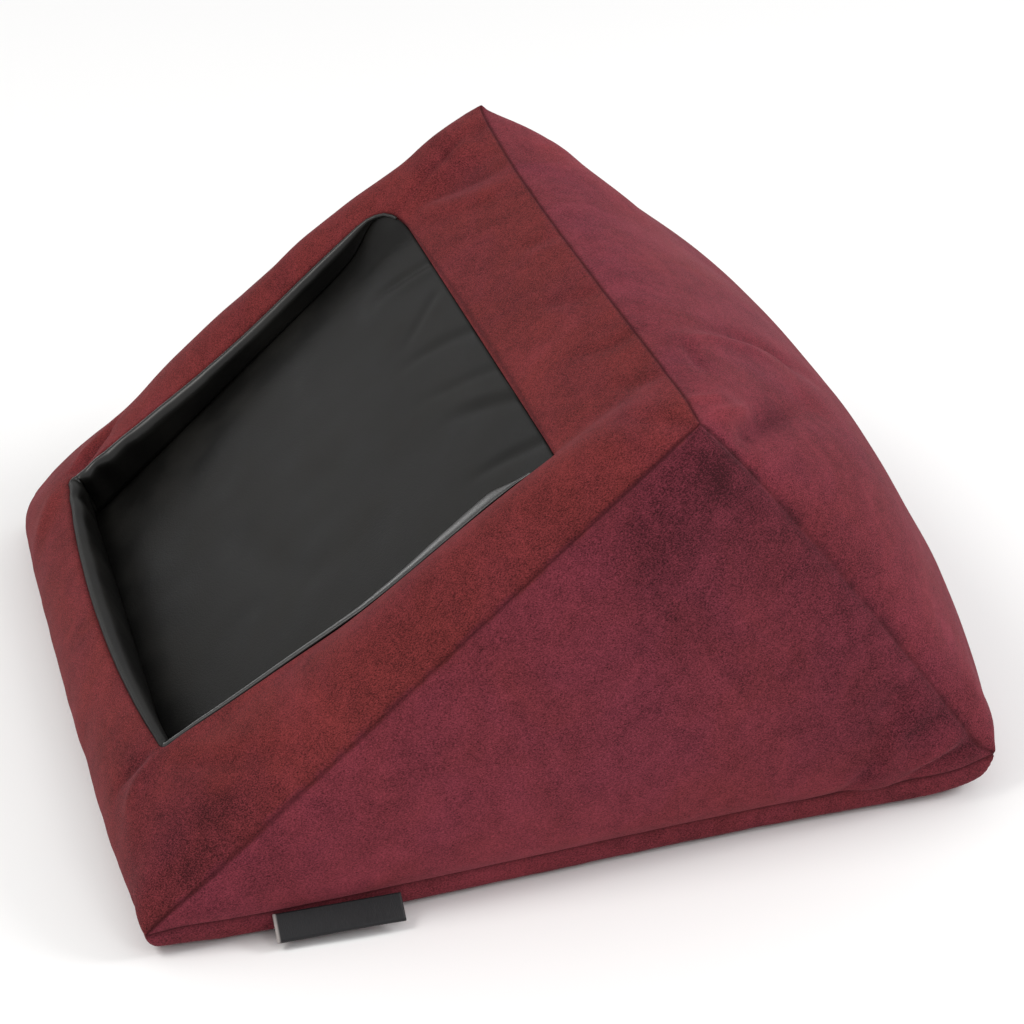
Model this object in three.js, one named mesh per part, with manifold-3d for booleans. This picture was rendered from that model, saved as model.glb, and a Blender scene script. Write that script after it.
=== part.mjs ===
// A wedge-shaped velvet pillow that holds a tablet: a filled cushion of five sewn panels, with a
// sloping recess in its front face that is lined in black imitation leather.
// Millimetres. X runs to the right as one faces the recess, Y to the back and Z up.

import * as THREE from 'three';
import { ParametricGeometry } from 'three/addons/geometries/ParametricGeometry.js';
import { mergeGeometries, mergeVertices } from 'three/addons/utils/BufferGeometryUtils.js';
import Module from 'manifold-3d';

const wasm = await Module();
wasm.setup();

// Where the seams of the cushion meet. The front seam of the base lies at y = 0.
const BASE_SEAM_HEIGHT = 11.5;
const BASE_DEPTH = 352;
const CORNERS = {
  frontLeft: new THREE.Vector3(-183, -1, BASE_SEAM_HEIGHT),
  frontRight: new THREE.Vector3(182.5, -1, BASE_SEAM_HEIGHT),
  backRight: new THREE.Vector3(170, BASE_DEPTH + 1, BASE_SEAM_HEIGHT + 1.5),
  backLeft: new THREE.Vector3(-170, BASE_DEPTH + 1, BASE_SEAM_HEIGHT + 1.5),
  ridgeLeft: new THREE.Vector3(-161, 226, 198),
  ridgeRight: new THREE.Vector3(170, 227.5, 193.5),
};
const BLUNTING = 2.5;
const BLUNTING_REACH = 14;

// How far each seam leaves the straight line between its ends, at its middle
const FRONT_SEAM_BOW = new THREE.Vector3(0, -0.5, 0);
const BACK_SEAM_BOW = new THREE.Vector3(0, 4, 0);
const SIDE_SEAM_PULL = 4.5;
const RIDGE_SAG = new THREE.Vector3(0, -3, -6);
const RIDGE_SAG_SKEW = 0.5;
const BACK_EDGE_BOW = new THREE.Vector3(0, 2, 1.5);

// The recess is tilted for reading. Its frame runs up the slope from the front seam of the base.
const TILT = THREE.MathUtils.degToRad(41);
const UP_SLOPE = new THREE.Vector3(0, Math.cos(TILT), Math.sin(TILT));
const OFF_SLOPE = new THREE.Vector3(0, -Math.sin(TILT), Math.cos(TILT));
const SLOPE_ORIGIN = new THREE.Vector3(0, 0, BASE_SEAM_HEIGHT);

// Middle line of the front panel, from the base seam to the ridge. share: part of the panel's
// height. along and height: place in the recess's frame. swell: how far the two margins beside
// the recess stand up as rolls.
const FRONT_PROFILE = [
  { share: 0.0, along: 0, height: 0, swell: 0 },
  { share: 0.03, along: -0.6, height: 7, swell: 0 },
  { share: 0.06, along: 4.6, height: 13.3, swell: 0 },
  { share: 0.1, along: 13.5, height: 19, swell: 0 },
  { share: 0.14, along: 26, height: 22, swell: 0.2 },
  { share: 0.19, along: 44, height: 21, swell: 0.5 },
  { share: 0.28, along: 78, height: 16.5, swell: 2.5 },
  { share: 0.38, along: 108, height: 12.3, swell: 5 },
  { share: 0.5, along: 145, height: 6.5, swell: 9 },
  { share: 0.62, along: 180, height: 2.5, swell: 10.5 },
  { share: 0.75, along: 217, height: -1.5, swell: 9.7 },
  { share: 0.87, along: 252, height: -6.5, swell: 8.5 },
  { share: 0.94, along: 272.5, height: -9.5, swell: 6 },
  { share: 1.0, along: 290, height: -12.8, swell: 0 },
];
const FRONT_SQUARENESS = 6;
const MARGIN_START = 0.72;
const LEFT_MARGIN_SWELL = 1.1;

// Crown of the back panel. share: part of its height from the base. crown: part of BACK_CROWN.
const BACK_CROWN = 41.5;
const BACK_SQUARENESS = 3.4;
const BACK_PROFILE = [
  { share: 0.0, crown: 0 },
  { share: 0.03, crown: 0.37 },
  { share: 0.06, crown: 0.51 },
  { share: 0.12, crown: 0.65 },
  { share: 0.2, crown: 0.76 },
  { share: 0.3, crown: 0.84 },
  { share: 0.42, crown: 0.95 },
  { share: 0.52, crown: 1 },
  { share: 0.6, crown: 0.99 },
  { share: 0.7, crown: 0.88 },
  { share: 0.8, crown: 0.69 },
  { share: 0.9, crown: 0.47 },
  { share: 0.95, crown: 0.32 },
  { share: 1.0, crown: 0 },
];

// Crown of each side panel. share: part of its height from the base. crown: part of SIDE_CROWN.
const SIDE_CROWN = 15;
const SIDE_PROFILE = [
  { share: 0.0, crown: 0 },
  { share: 0.04, crown: 0.42 },
  { share: 0.1, crown: 0.68 },
  { share: 0.2, crown: 0.9 },
  { share: 0.38, crown: 1 },
  { share: 0.6, crown: 0.93 },
  { share: 0.78, crown: 0.78 },
  { share: 0.9, crown: 0.6 },
  { share: 0.96, crown: 0.4 },
  { share: 1.0, crown: 0 },
];
const BASE_ROLL = 12;
const BASE_ROLL_SWELL = 2;
const BASE_ROLL_SQUARENESS = 2.6;

// Main folds of the velvet, and places where the filling stands fuller or has sunk. path: places on
// the panel that it runs through. rise: how far it stands out of the panel, or into it if below
// zero. width: how far from its line it fades.
const FOLDS = {
  front: [
    { path: [[116, 17, 54], [118, 9, 47], [117, 1, 39]], rise: -2, width: 8 },
    { path: [[118, 18, 55], [128, 7, 46], [148, 0, 33]], rise: 2, width: 9 },
    { path: [[124, 19, 56], [150, 38, 67], [175, 74, 81]], rise: -1.8, width: 8 },
    { path: [[130, 25, 59], [160, 55, 77], [178, 87, 83]], rise: 1.4, width: 9 },
    { path: [[-126, 177, 163], [-131, 190, 175], [-157, 225, 192]], rise: 3, width: 6 },
    { path: [[-120, 180, 166], [-102, 197, 173], [-86, 219, 187]], rise: 1.6, width: 8 },
    { path: [[-126, 21, 57], [-133, 28, 61], [-139, 34, 66]], rise: -3, width: 5 },
    { path: [[-127, 10, 48], [-112, 0, 38], [-102, -4, 31]], rise: 1.5, width: 8 },
    { path: [[-166, 8, 38], [-170, 28, 52], [-172, 45, 62]], rise: -9, width: 24 },
    { path: [[-172, -1, 18], [-160, -3, 20], [-146, -5, 22]], rise: 3, width: 12 },
    { path: [[-165, 58, 77], [-163, 88, 100], [-160, 115, 122]], rise: -3, width: 22 },
    { path: [[60, -6, 22], [110, -6, 22], [150, -3, 22]], rise: -2.8, width: 16 },
    { path: [[178, -1, 15], [177, -1, 22], [174, 0, 30]], rise: 6, width: 10 },
    { path: [[-159, 222, 191], [-152, 213, 186], [-146, 205, 181]], rise: 7, width: 12 },
  ],
  back: [
    { path: [[168, 242, 179], [146, 260, 175], [104, 291, 158]], rise: -3.5, width: 11 },
    { path: [[167, 229, 191], [160, 237, 188], [149, 248, 184]], rise: 2.5, width: 8 },
    { path: [[92, 245, 190], [80, 268, 177], [69, 287, 164]], rise: 2, width: 7 },
    { path: [[85, 252, 187], [67, 279, 170], [64, 303, 151]], rise: -2.2, width: 8 },
    { path: [[94, 244, 190], [110, 243, 190], [125, 242, 190]], rise: -1.5, width: 6 },
    { path: [[166, 353, 18], [167, 354, 28], [167, 350, 44]], rise: 8, width: 12 },
    { path: [[-154, 236, 189], [-142, 242, 187], [-125, 248, 186]], rise: 3, width: 13 },
    { path: [[-60, 298, 160], [-90, 298, 156], [-120, 288, 155]], rise: -4.5, width: 34 },
  ],
  right: [
    { path: [[170, 284, 15], [175, 298, 27], [176, 308, 56]], rise: -3, width: 8 },
    { path: [[169, 292, 14], [175, 304, 31], [174, 320, 54]], rise: 3, width: 8 },
    { path: [[169, 298, 14], [173, 319, 25], [172, 337, 35]], rise: 3, width: 6 },
    { path: [[171, 311, 16], [173, 327, 23], [171, 342, 30]], rise: -3, width: 7 },
  ],
  left: [
    { path: [[-181, 10, 25], [-182, 30, 38], [-182, 48, 50]], rise: -6, width: 20 },
  ],
};
const FOLD_STEPS = 8;
const FOLD_EASE = 0.25;

const ACROSS_STEPS = 32;
const SLOPE_STEPS = 30;
const DEPTH_STEPS = 30;

// Recess. Each corner has its place on the floor and on the rim, as x and up the slope. bow: how
// far the rim leaves the straight line at the middle of the edge that starts at the corner.
const RECESS_CORNERS = [
  { floor: [-125, 29.5], rim: [-121, 38], radius: 5, bow: [0, -4.5] },
  { floor: [122, 29.5], rim: [119, 43], radius: 5, bow: [1, 0] },
  { floor: [126, 233], rim: [126, 233], radius: 4, bow: [0, 1.5] },
  { floor: [-129, 231], rim: [-129, 231], radius: 18, bow: [-1, 0] },
];
const FLOOR_LOW = { along: 30, height: -2.5 };
const FLOOR_HIGH = { along: 232, height: -4.6 };
const WALL_BULGE = 2.5;
const FULL_WALL = 24;
const CORNER_STEPS = 6;
const EDGE_STEPS = 14;
const SIDE_STEPS = CORNER_STEPS + EDGE_STEPS;
const WALL_STEPS = 5;
const CUT_CLEARANCE = 24;
const SLIVER = 0.02;

const LINING = 1.5;
const GAP = 0.3;

// Label: a ribbon folded once, its fold outwards, sewn into the seam of the base on the right
const LABEL = { length: 51, front: 49, reach: 11.3, layer: 1, slit: 0.5, droop: 0.72, wave: 0.7, steps: 12 };
const LABEL_ROOT = new THREE.Vector3(181.6, 0, BASE_SEAM_HEIGHT + 0.1);

const velvet = new THREE.MeshStandardMaterial({ name: 'velvet', color: 0x6a2a2f, roughness: 0.95, metalness: 0 });
const leather = new THREE.MeshStandardMaterial({ name: 'leather', color: 0x1d1c1a, roughness: 0.42, metalness: 0 });
const satin = new THREE.MeshStandardMaterial({ name: 'satin', color: 0x151517, roughness: 0.5, metalness: 0 });

function readTable(rows, key, column, value) {
  let next = 1;
  while (next < rows.length - 1 && rows[next][key] < value) next += 1;
  const before = rows[Math.max(next - 2, 0)];
  const low = rows[next - 1];
  const high = rows[next];
  const after = rows[Math.min(next + 1, rows.length - 1)];
  const width = high[key] - low[key];
  const t = THREE.MathUtils.clamp((value - low[key]) / width, 0, 1);
  const slopeLow = (high[column] - before[column]) / (high[key] - before[key]) * width;
  const slopeHigh = (after[column] - low[column]) / (after[key] - low[key]) * width;
  const rise = high[column] - low[column];
  const bend = t * (1 - t) * ((1 - t) * (slopeLow - rise) - t * (slopeHigh - rise));
  return low[column] + rise * t + bend;
}

function mix(a, b, t) {
  return new THREE.Vector3().lerpVectors(a, b, t);
}

// Even steps drawn together towards both ends, where the panels curve down to their seams
function graded(t) {
  return (1 - Math.cos(Math.PI * t)) / 2;
}

function bowed(from, to, bow, t) {
  return mix(from, to, t).addScaledVector(bow, 4 * t * (1 - t));
}

const sideEdge = {
  left: (t) => mix(CORNERS.frontLeft, CORNERS.ridgeLeft, t),
  right: (t) => mix(CORNERS.frontRight, CORNERS.ridgeRight, t),
};
const backEdge = {
  left: (t) => bowed(CORNERS.backLeft, CORNERS.ridgeLeft, BACK_EDGE_BOW, t),
  right: (t) => bowed(CORNERS.backRight, CORNERS.ridgeRight, BACK_EDGE_BOW, t),
};
const ridge = (t) => {
  const sag = Math.sin(Math.PI * t ** RIDGE_SAG_SKEW);
  return mix(CORNERS.ridgeLeft, CORNERS.ridgeRight, t).addScaledVector(RIDGE_SAG, sag);
};
const baseFront = (t) => bowed(CORNERS.frontLeft, CORNERS.frontRight, FRONT_SEAM_BOW, t);
const baseBack = (t) => bowed(CORNERS.backLeft, CORNERS.backRight, BACK_SEAM_BOW, t);

// Seam of the base along one side, pulled in towards the back
function baseSide(side, t) {
  const inward = side === 'left' ? SIDE_SEAM_PULL : -SIDE_SEAM_PULL;
  const front = side === 'left' ? CORNERS.frontLeft : CORNERS.frontRight;
  const back = side === 'left' ? CORNERS.backLeft : CORNERS.backRight;
  const point = mix(front, back, t);
  point.x += inward * Math.sin(Math.PI * t * t);
  return point;
}

// Fills four edges: bottom and top run with u, left and right run with v
function patch(u, v, bottom, top, left, right) {
  const point = mix(bottom(u), top(u), v).add(mix(left(v), right(v), u));
  const corners = mix(mix(bottom(0), bottom(1), u), mix(top(0), top(1), u), v);
  return point.sub(corners);
}

function blunted(point) {
  const middle = new THREE.Vector3(0, BASE_DEPTH / 2, 60);
  for (const corner of Object.values(CORNERS)) {
    const reach = point.distanceTo(corner) / BLUNTING_REACH;
    const inward = middle.clone().sub(corner).normalize();
    point.addScaledVector(inward, BLUNTING * Math.exp(-reach * reach));
  }
  point.z = Math.max(point.z, 0);
  return point;
}

const foldLines = Object.fromEntries(Object.entries(FOLDS).map(([name, folds]) => [
  name,
  folds.map(({ path, rise, width }) => {
    const curve = new THREE.CatmullRomCurve3(path.map((place) => new THREE.Vector3(...place)));
    return { points: curve.getPoints(FOLD_STEPS), rise, width };
  }),
]));

// How far the folds of a panel lift the cloth at a point of it. They fade at the panel's seams.
function foldRise(name, point, u, v) {
  const segment = new THREE.Line3();
  const nearest = new THREE.Vector3();
  let total = 0;
  for (const { points, rise, width } of foldLines[name]) {
    let closest = Infinity;
    for (let i = 0; i < FOLD_STEPS; i += 1) {
      segment.set(points[i], points[i + 1]).closestPointToPoint(point, true, nearest);
      closest = Math.min(closest, nearest.distanceTo(point));
    }
    total += rise * Math.exp(-((closest / width) ** 2));
  }
  return total * (16 * u * (1 - u) * v * (1 - v)) ** FOLD_EASE;
}

function squareCrown(across, squareness) {
  return Math.sqrt(Math.max(1 - Math.abs(across) ** squareness, 0));
}

function frontPoint(u, v) {
  const point = patch(u, v, baseFront, ridge, sideEdge.left, sideEdge.right);
  const last = FRONT_PROFILE[FRONT_PROFILE.length - 1];
  const across = 2 * u - 1;
  const fall = squareCrown(across, FRONT_SQUARENESS);
  const beyond = Math.max(Math.abs(across) - MARGIN_START, 0) / (1 - MARGIN_START);
  const along = readTable(FRONT_PROFILE, 'share', 'along', v) - v * last.along;
  const height = readTable(FRONT_PROFILE, 'share', 'height', v) - v * last.height;
  const side = across < 0 ? LEFT_MARGIN_SWELL : 1;
  const swell = side * readTable(FRONT_PROFILE, 'share', 'swell', v) * Math.sin(Math.PI * Math.min(beyond, 1));
  point.addScaledVector(UP_SLOPE, along * fall).addScaledVector(OFF_SLOPE, height * fall + swell);
  return point.addScaledVector(OFF_SLOPE, foldRise('front', point, u, v));
}

function backPoint(u, v) {
  const edgeRight = (t) => backEdge.right(t);
  const edgeLeft = (t) => backEdge.left(t);
  const point = patch(u, v, (t) => baseBack(1 - t), (t) => ridge(1 - t), edgeRight, edgeLeft);
  const rise = CORNERS.ridgeRight.z - CORNERS.backRight.z;
  const run = BASE_DEPTH - CORNERS.ridgeRight.y;
  const outward = new THREE.Vector3(0, rise, run).normalize();
  const crown = BACK_CROWN * readTable(BACK_PROFILE, 'share', 'crown', v);
  point.addScaledVector(outward, crown * squareCrown(2 * u - 1, BACK_SQUARENESS));
  return point.addScaledVector(outward, foldRise('back', point, u, v));
}

// Side panel: a triangle from the base seam (v = 0) up to the end of the ridge (v = 1)
function sidePoint(side, u, v) {
  const seamEnds = mix(baseSide(side, 0), baseSide(side, 1), u);
  const point = mix(sideEdge[side](v), backEdge[side](v), u);
  point.addScaledVector(baseSide(side, u).sub(seamEnds), 1 - v);
  const crown = SIDE_CROWN * readTable(SIDE_PROFILE, 'share', 'crown', v);
  const outward = side === 'left' ? -1 : 1;
  point.x += outward * crown * squareCrown(2 * u - 1, 2);
  point.x += outward * foldRise(side, point, u, v);
  return point;
}

// Base panel: rolls down from its seam and lies flat on the surface inside the roll
function basePoint(u, v) {
  const front = (t) => baseFront(t);
  const back = (t) => baseBack(t);
  const point = patch(u, v, back, front, (t) => baseSide('left', 1 - t), (t) => baseSide('right', 1 - t));
  const insetX = (1 - Math.abs(2 * u - 1)) * CORNERS.frontRight.x;
  const insetY = (1 - Math.abs(2 * v - 1)) * BASE_DEPTH / 2;
  const share = (inset) => Math.min(inset / BASE_ROLL, 1);
  const drop = (inset) => 1 - (1 - (1 - share(inset)) ** BASE_ROLL_SQUARENESS) ** (1 / BASE_ROLL_SQUARENESS);
  const swell = (inset) => BASE_ROLL_SWELL * Math.sin(Math.PI * share(inset));
  point.z *= drop(insetX) + drop(insetY) - drop(insetX) * drop(insetY);
  point.x += Math.sign(2 * u - 1) * swell(insetX) * (1 - drop(insetY));
  point.y -= Math.sign(2 * v - 1) * swell(insetY) * (1 - drop(insetX));
  return point;
}

function panel(pointAt, slices, stacks) {
  const shape = (u, v, target) => target.copy(blunted(pointAt(graded(u), graded(v))));
  return new ParametricGeometry(shape, slices, stacks);
}

// Joins panels at their shared seams and leaves out faces that have shrunk to a line or a point
function closedGeometry(pieces) {
  const bare = pieces.map((piece) => {
    const copy = piece.clone();
    copy.deleteAttribute('normal');
    copy.deleteAttribute('uv');
    return copy;
  });
  const joined = mergeVertices(mergeGeometries(bare), 1e-3);
  const index = joined.getIndex().array;
  const kept = [];
  for (let i = 0; i < index.length; i += 3) {
    const [a, b, c] = [index[i], index[i + 1], index[i + 2]];
    if (a !== b && b !== c && c !== a) kept.push(a, b, c);
  }
  joined.setIndex(kept);
  return joined;
}

function toManifold(geometry) {
  const mesh = new wasm.Mesh({
    numProp: 3,
    vertProperties: new Float32Array(geometry.getAttribute('position').array),
    triVerts: new Uint32Array(geometry.getIndex().array),
  });
  return new wasm.Manifold(mesh);
}

function fromManifold(solid) {
  const mesh = solid.getMesh();
  const geometry = new THREE.BufferGeometry();
  geometry.setAttribute('position', new THREE.BufferAttribute(new Float32Array(mesh.vertProperties), 3));
  geometry.setIndex(new THREE.BufferAttribute(new Uint32Array(mesh.triVerts), 1));
  return geometry;
}

function filledCushion() {
  return closedGeometry([
    panel(frontPoint, ACROSS_STEPS, SLOPE_STEPS),
    panel(backPoint, ACROSS_STEPS, SLOPE_STEPS),
    panel((u, v) => sidePoint('right', u, v), DEPTH_STEPS, SLOPE_STEPS),
    panel((u, v) => sidePoint('left', 1 - u, v), DEPTH_STEPS, SLOPE_STEPS),
    panel(basePoint, ACROSS_STEPS, DEPTH_STEPS),
  ]);
}

// Height of the front panel over the frame of the recess
function frontHeight(x, along) {
  const width = CORNERS.frontRight.x - CORNERS.frontLeft.x;
  const length = FRONT_PROFILE[FRONT_PROFILE.length - 1].along;
  let u = (x - CORNERS.frontLeft.x) / width;
  let v = along / length;
  let offset = new THREE.Vector3();
  for (let round = 0; round < 12; round += 1) {
    const point = blunted(frontPoint(u, v));
    offset = point.clone().sub(SLOPE_ORIGIN);
    u += (x - point.x) / width;
    v += (along - offset.dot(UP_SLOPE)) / length;
  }
  return offset.dot(OFF_SLOPE);
}

function liningHeight(along) {
  const share = (along - FLOOR_LOW.along) / (FLOOR_HIGH.along - FLOOR_LOW.along);
  return FLOOR_LOW.height + share * (FLOOR_HIGH.height - FLOOR_LOW.height);
}

function slopePoint(x, along, height) {
  return SLOPE_ORIGIN.clone().setX(x).addScaledVector(UP_SLOPE, along).addScaledVector(OFF_SLOPE, height);
}

// Outline with rounded corners, anticlockwise, with as many points whatever its size
function roundedLoop(places, bows) {
  const loop = [];
  RECESS_CORNERS.forEach(({ radius }, i) => {
    const here = places[i];
    const before = places[(i + 3) % 4];
    const after = places[(i + 1) % 4];
    const afterRadius = RECESS_CORNERS[(i + 1) % 4].radius;
    const entry = before.clone().sub(here).setLength(radius).add(here);
    const exit = after.clone().sub(here).setLength(radius).add(here);
    const nextEntry = here.clone().sub(after).setLength(afterRadius).add(after);
    const turn = new THREE.QuadraticBezierCurve(entry, here, exit);
    for (let k = 0; k <= CORNER_STEPS; k += 1) loop.push(turn.getPoint(k / CORNER_STEPS));
    for (let k = 1; k < EDGE_STEPS; k += 1) {
      const t = k / EDGE_STEPS;
      const bow = bows[i].clone().multiplyScalar(4 * t * (1 - t));
      loop.push(exit.clone().lerp(nextEntry, t).add(bow));
    }
  });
  return loop;
}

const asVector = ([x, along]) => new THREE.Vector2(x, along);
const straight = RECESS_CORNERS.map(() => new THREE.Vector2());
const floorLoop = roundedLoop(RECESS_CORNERS.map((corner) => asVector(corner.floor)), straight);
const rimLoop = roundedLoop(
  RECESS_CORNERS.map((corner) => asVector(corner.rim)),
  RECESS_CORNERS.map((corner) => asVector(corner.bow)),
);
const inwardLoop = floorLoop.map((point, i) => {
  const next = floorLoop[(i + 1) % floorLoop.length];
  const last = floorLoop[(i + floorLoop.length - 1) % floorLoop.length];
  const along = next.clone().sub(last).normalize();
  return new THREE.Vector2(-along.y, along.x);
});

function onLoop(loop, position) {
  const low = Math.floor(position);
  const size = loop.length;
  return loop[(low + size) % size].clone().lerp(loop[(low + 1) % size], position - low);
}

// How full the wall's bulge is: none round the corners, all of it along the middle of an edge
function bulgeShare(position) {
  const onEdge = ((position % SIDE_STEPS) - CORNER_STEPS) / EDGE_STEPS;
  return Math.sin(Math.PI * THREE.MathUtils.clamp(onEdge, 0, 1)) ** 0.5;
}

// Point of the recess's wall. position: round the loop. rise: 0 just over the floor lining and 1 at
// the rim. inset: distance from the cushion's own wall into the hollow.
function wallPoint(position, rise, inset) {
  const inward = onLoop(inwardLoop, position);
  const foot = onLoop(floorLoop, position);
  const rim = onLoop(rimLoop, position);
  const bottom = liningHeight(foot.y) + GAP;
  const top = frontHeight(rim.x, rim.y);
  const fullness = Math.min((top - bottom) / FULL_WALL, 1) * bulgeShare(position);
  const bulge = WALL_BULGE * fullness * Math.sin(Math.PI * rise);
  const plan = foot.lerp(rim, rise).addScaledVector(inward, inset + bulge);
  return slopePoint(plan.x, plan.y, bottom + (top - bottom) * rise);
}

// Closed solid through rings of points that have as many points each, with a fan over each end
function loft(rings) {
  const size = rings[0].length;
  const lastRing = (rings.length - 1) * size;
  const [lowCentre, highCentre] = [rings.length * size, rings.length * size + 1];
  const faces = [];
  for (let i = 0; i < size; i += 1) {
    const j = (i + 1) % size;
    for (let level = 0; level < lastRing; level += size) {
      const [a, b] = [level + i, level + j];
      faces.push(a, b, a + size, b, b + size, a + size);
    }
    faces.push(j, i, lowCentre, lastRing + i, lastRing + j, highCentre);
  }
  const centre = (ring) => ring.reduce((sum, point) => sum.add(point), new THREE.Vector3()).divideScalar(size);
  const points = [...rings.flat(), centre(rings[0]), centre(rings[rings.length - 1])];
  const geometry = new THREE.BufferGeometry().setFromPoints(points);
  geometry.setIndex(faces);
  return geometry;
}

// Closed sheet between a front face and a back face. u x v points out of the front face.
function sheet(front, back, slices, stacks) {
  const between = (from, to, t) => mix(from, to, t);
  const face = (pointAt, columns, rows) =>
    new ParametricGeometry((u, v, target) => target.copy(pointAt(u, v)), columns, rows);
  return closedGeometry([
    face(front, slices, stacks),
    face((u, v) => back(1 - u, v), slices, stacks),
    face((u, t) => between(back(u, 0), front(u, 0), t), slices, 1),
    face((u, t) => between(front(u, 1), back(u, 1), t), slices, 1),
    face((v, t) => between(front(0, v), back(0, v), t), stacks, 1),
    face((v, t) => between(back(1, v), front(1, v), t), stacks, 1),
  ]);
}

function recessCutter() {
  const positions = floorLoop.map((point, i) => i);
  const underLining = LINING + 2 * GAP;
  const rings = [positions.map((i) => wallPoint(i, 0, 0).addScaledVector(OFF_SLOPE, -underLining))];
  for (let level = 0; level <= WALL_STEPS; level += 1) {
    rings.push(positions.map((i) => wallPoint(i, level / WALL_STEPS, 0)));
  }
  const rim = rings[rings.length - 1];
  rings.push(rim.map((point) => point.clone().addScaledVector(OFF_SLOPE, CUT_CLEARANCE)));
  return loft(rings);
}

function cushion() {
  const cut = toManifold(filledCushion()).subtract(toManifold(recessCutter()));
  return fromManifold(cut.simplify(SLIVER));
}

// Lining on the floor of the recess, up to the seam at its top
function floorLining() {
  const outline = floorLoop.map((point, i) => point.clone().addScaledVector(inwardLoop[i], GAP));
  const ring = (drop) => outline.map(({ x, y }) => slopePoint(x, y, liningHeight(y) - drop));
  return loft([ring(LINING), ring(0)]);
}

// Lining on one wall: a strip that stands on the floor lining and ends level with the velvet
function wallLining(from, to) {
  const first = Math.floor(from);
  const slices = Math.ceil(to) - first;
  const position = (u) => THREE.MathUtils.clamp(first + slices * u, from, to);
  const standing = (u, v, inset) => wallPoint(position(u), v, inset);
  const towardsCushion = (u, v) => standing(u, v, GAP);
  const towardsHollow = (u, v) => standing(u, v, GAP + LINING);
  return sheet(towardsCushion, towardsHollow, slices, WALL_STEPS);
}

function label() {
  const half = LABEL.layer + LABEL.slit / 2;
  const bend = LABEL.reach - half;
  const section = new THREE.Shape();
  section.moveTo(0, -half);
  section.lineTo(bend, -half);
  section.absarc(bend, 0, half, -Math.PI / 2, Math.PI / 2, false);
  section.lineTo(0, half);
  section.lineTo(0, LABEL.slit / 2);
  section.lineTo(bend, LABEL.slit / 2);
  section.absarc(bend, 0, LABEL.slit / 2, Math.PI / 2, -Math.PI / 2, true);
  section.lineTo(0, -LABEL.slit / 2);
  const settings = { depth: LABEL.length, steps: LABEL.steps, bevelEnabled: false, curveSegments: 6 };
  const geometry = new THREE.ExtrudeGeometry(section, settings);
  const position = geometry.getAttribute('position');
  for (let i = 0; i < position.count; i += 1) {
    const out = position.getX(i) / LABEL.reach;
    const turn = Math.sin((position.getZ(i) / LABEL.length) * 1.6 * Math.PI);
    position.setY(i, position.getY(i) + LABEL.wave * turn * out * out);
  }
  return closedGeometry([geometry]);
}

function piece(name, geometry, material) {
  const mesh = new THREE.Mesh(geometry, material);
  mesh.name = name;
  return mesh;
}

// Positions on the loop where the wall linings meet at a corner or end at the top seam
const MITRE = 0.35;
const END = 0.5;
const leftCorner = CORNER_STEPS / 2;
const rightCorner = SIDE_STEPS + CORNER_STEPS / 2;
const topRight = 2 * SIDE_STEPS - END;
const topLeft = 3 * SIDE_STEPS + CORNER_STEPS + END;
const fullLoop = 4 * SIDE_STEPS;

const labelTab = piece('label', label(), satin);
labelTab.rotation.set(Math.PI / 2, LABEL.droop, 0, 'YXZ');
labelTab.position.copy(LABEL_ROOT).setY(LABEL.front + LABEL.length);

const group = new THREE.Group();
group.add(
  piece('cushion', cushion(), velvet),
  piece('recess_floor', floorLining(), leather),
  piece('recess_wall_bottom', wallLining(leftCorner + MITRE, rightCorner - MITRE), leather),
  piece('recess_wall_right', wallLining(rightCorner + MITRE, topRight), leather),
  piece('recess_wall_left', wallLining(topLeft, fullLoop + leftCorner - MITRE), leather),
  labelTab,
);

// The origin is at the middle of the footprint
const bounds = new THREE.Box3().setFromObject(group);
const middle = bounds.getCenter(new THREE.Vector3());
group.position.set(-middle.x, -middle.y, -bounds.min.z);

export default group;
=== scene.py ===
"""Looks of the pillow stand: velvet cushion, recess lined in imitation leather, ribbon label.

Sizes are millimetres in the sewing frame, whose y is 0 at the front seam of the base. SHIFT takes
them to the part's frame. X runs right as one faces the recess, Y to the back and Z up.
"""

import math

import bmesh
import bpy
import numpy as np
from mathutils import Matrix, Vector, kdtree, noise


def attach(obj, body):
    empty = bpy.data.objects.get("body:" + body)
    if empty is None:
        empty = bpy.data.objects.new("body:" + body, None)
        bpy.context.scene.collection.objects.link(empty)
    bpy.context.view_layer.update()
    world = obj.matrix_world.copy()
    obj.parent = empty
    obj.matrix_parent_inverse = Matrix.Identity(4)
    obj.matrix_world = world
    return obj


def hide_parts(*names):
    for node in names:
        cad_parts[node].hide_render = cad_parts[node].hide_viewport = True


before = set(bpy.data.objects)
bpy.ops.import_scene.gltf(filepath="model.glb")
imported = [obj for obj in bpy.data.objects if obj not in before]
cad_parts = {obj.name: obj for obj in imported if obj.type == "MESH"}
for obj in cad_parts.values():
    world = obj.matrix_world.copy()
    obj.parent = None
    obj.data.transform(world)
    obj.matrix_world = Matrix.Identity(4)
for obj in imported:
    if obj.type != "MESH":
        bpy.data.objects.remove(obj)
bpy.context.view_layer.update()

MM = 0.001
SHIFT = np.array((-2.157, -179.936, 0.0))


def vec(*numbers):
    return np.array(numbers, float)


# Where the seams of the cushion meet
SEAM = 11.5
DEPTH = 352.0
FRONT = {"left": vec(-183, -1, SEAM), "right": vec(182.5, -1, SEAM)}
BACK = {"left": vec(-170, DEPTH + 1, SEAM + 1.5), "right": vec(170, DEPTH + 1, SEAM + 1.5)}
RIDGE = {"left": vec(-161, 226, 198), "right": vec(170, 227.5, 193.5)}
CORNERS = [*FRONT.values(), *BACK.values(), *RIDGE.values()]
CORE = vec(0, DEPTH / 2, 60)
BLUNTING = 2.5
BLUNTING_REACH = 14.0

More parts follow.
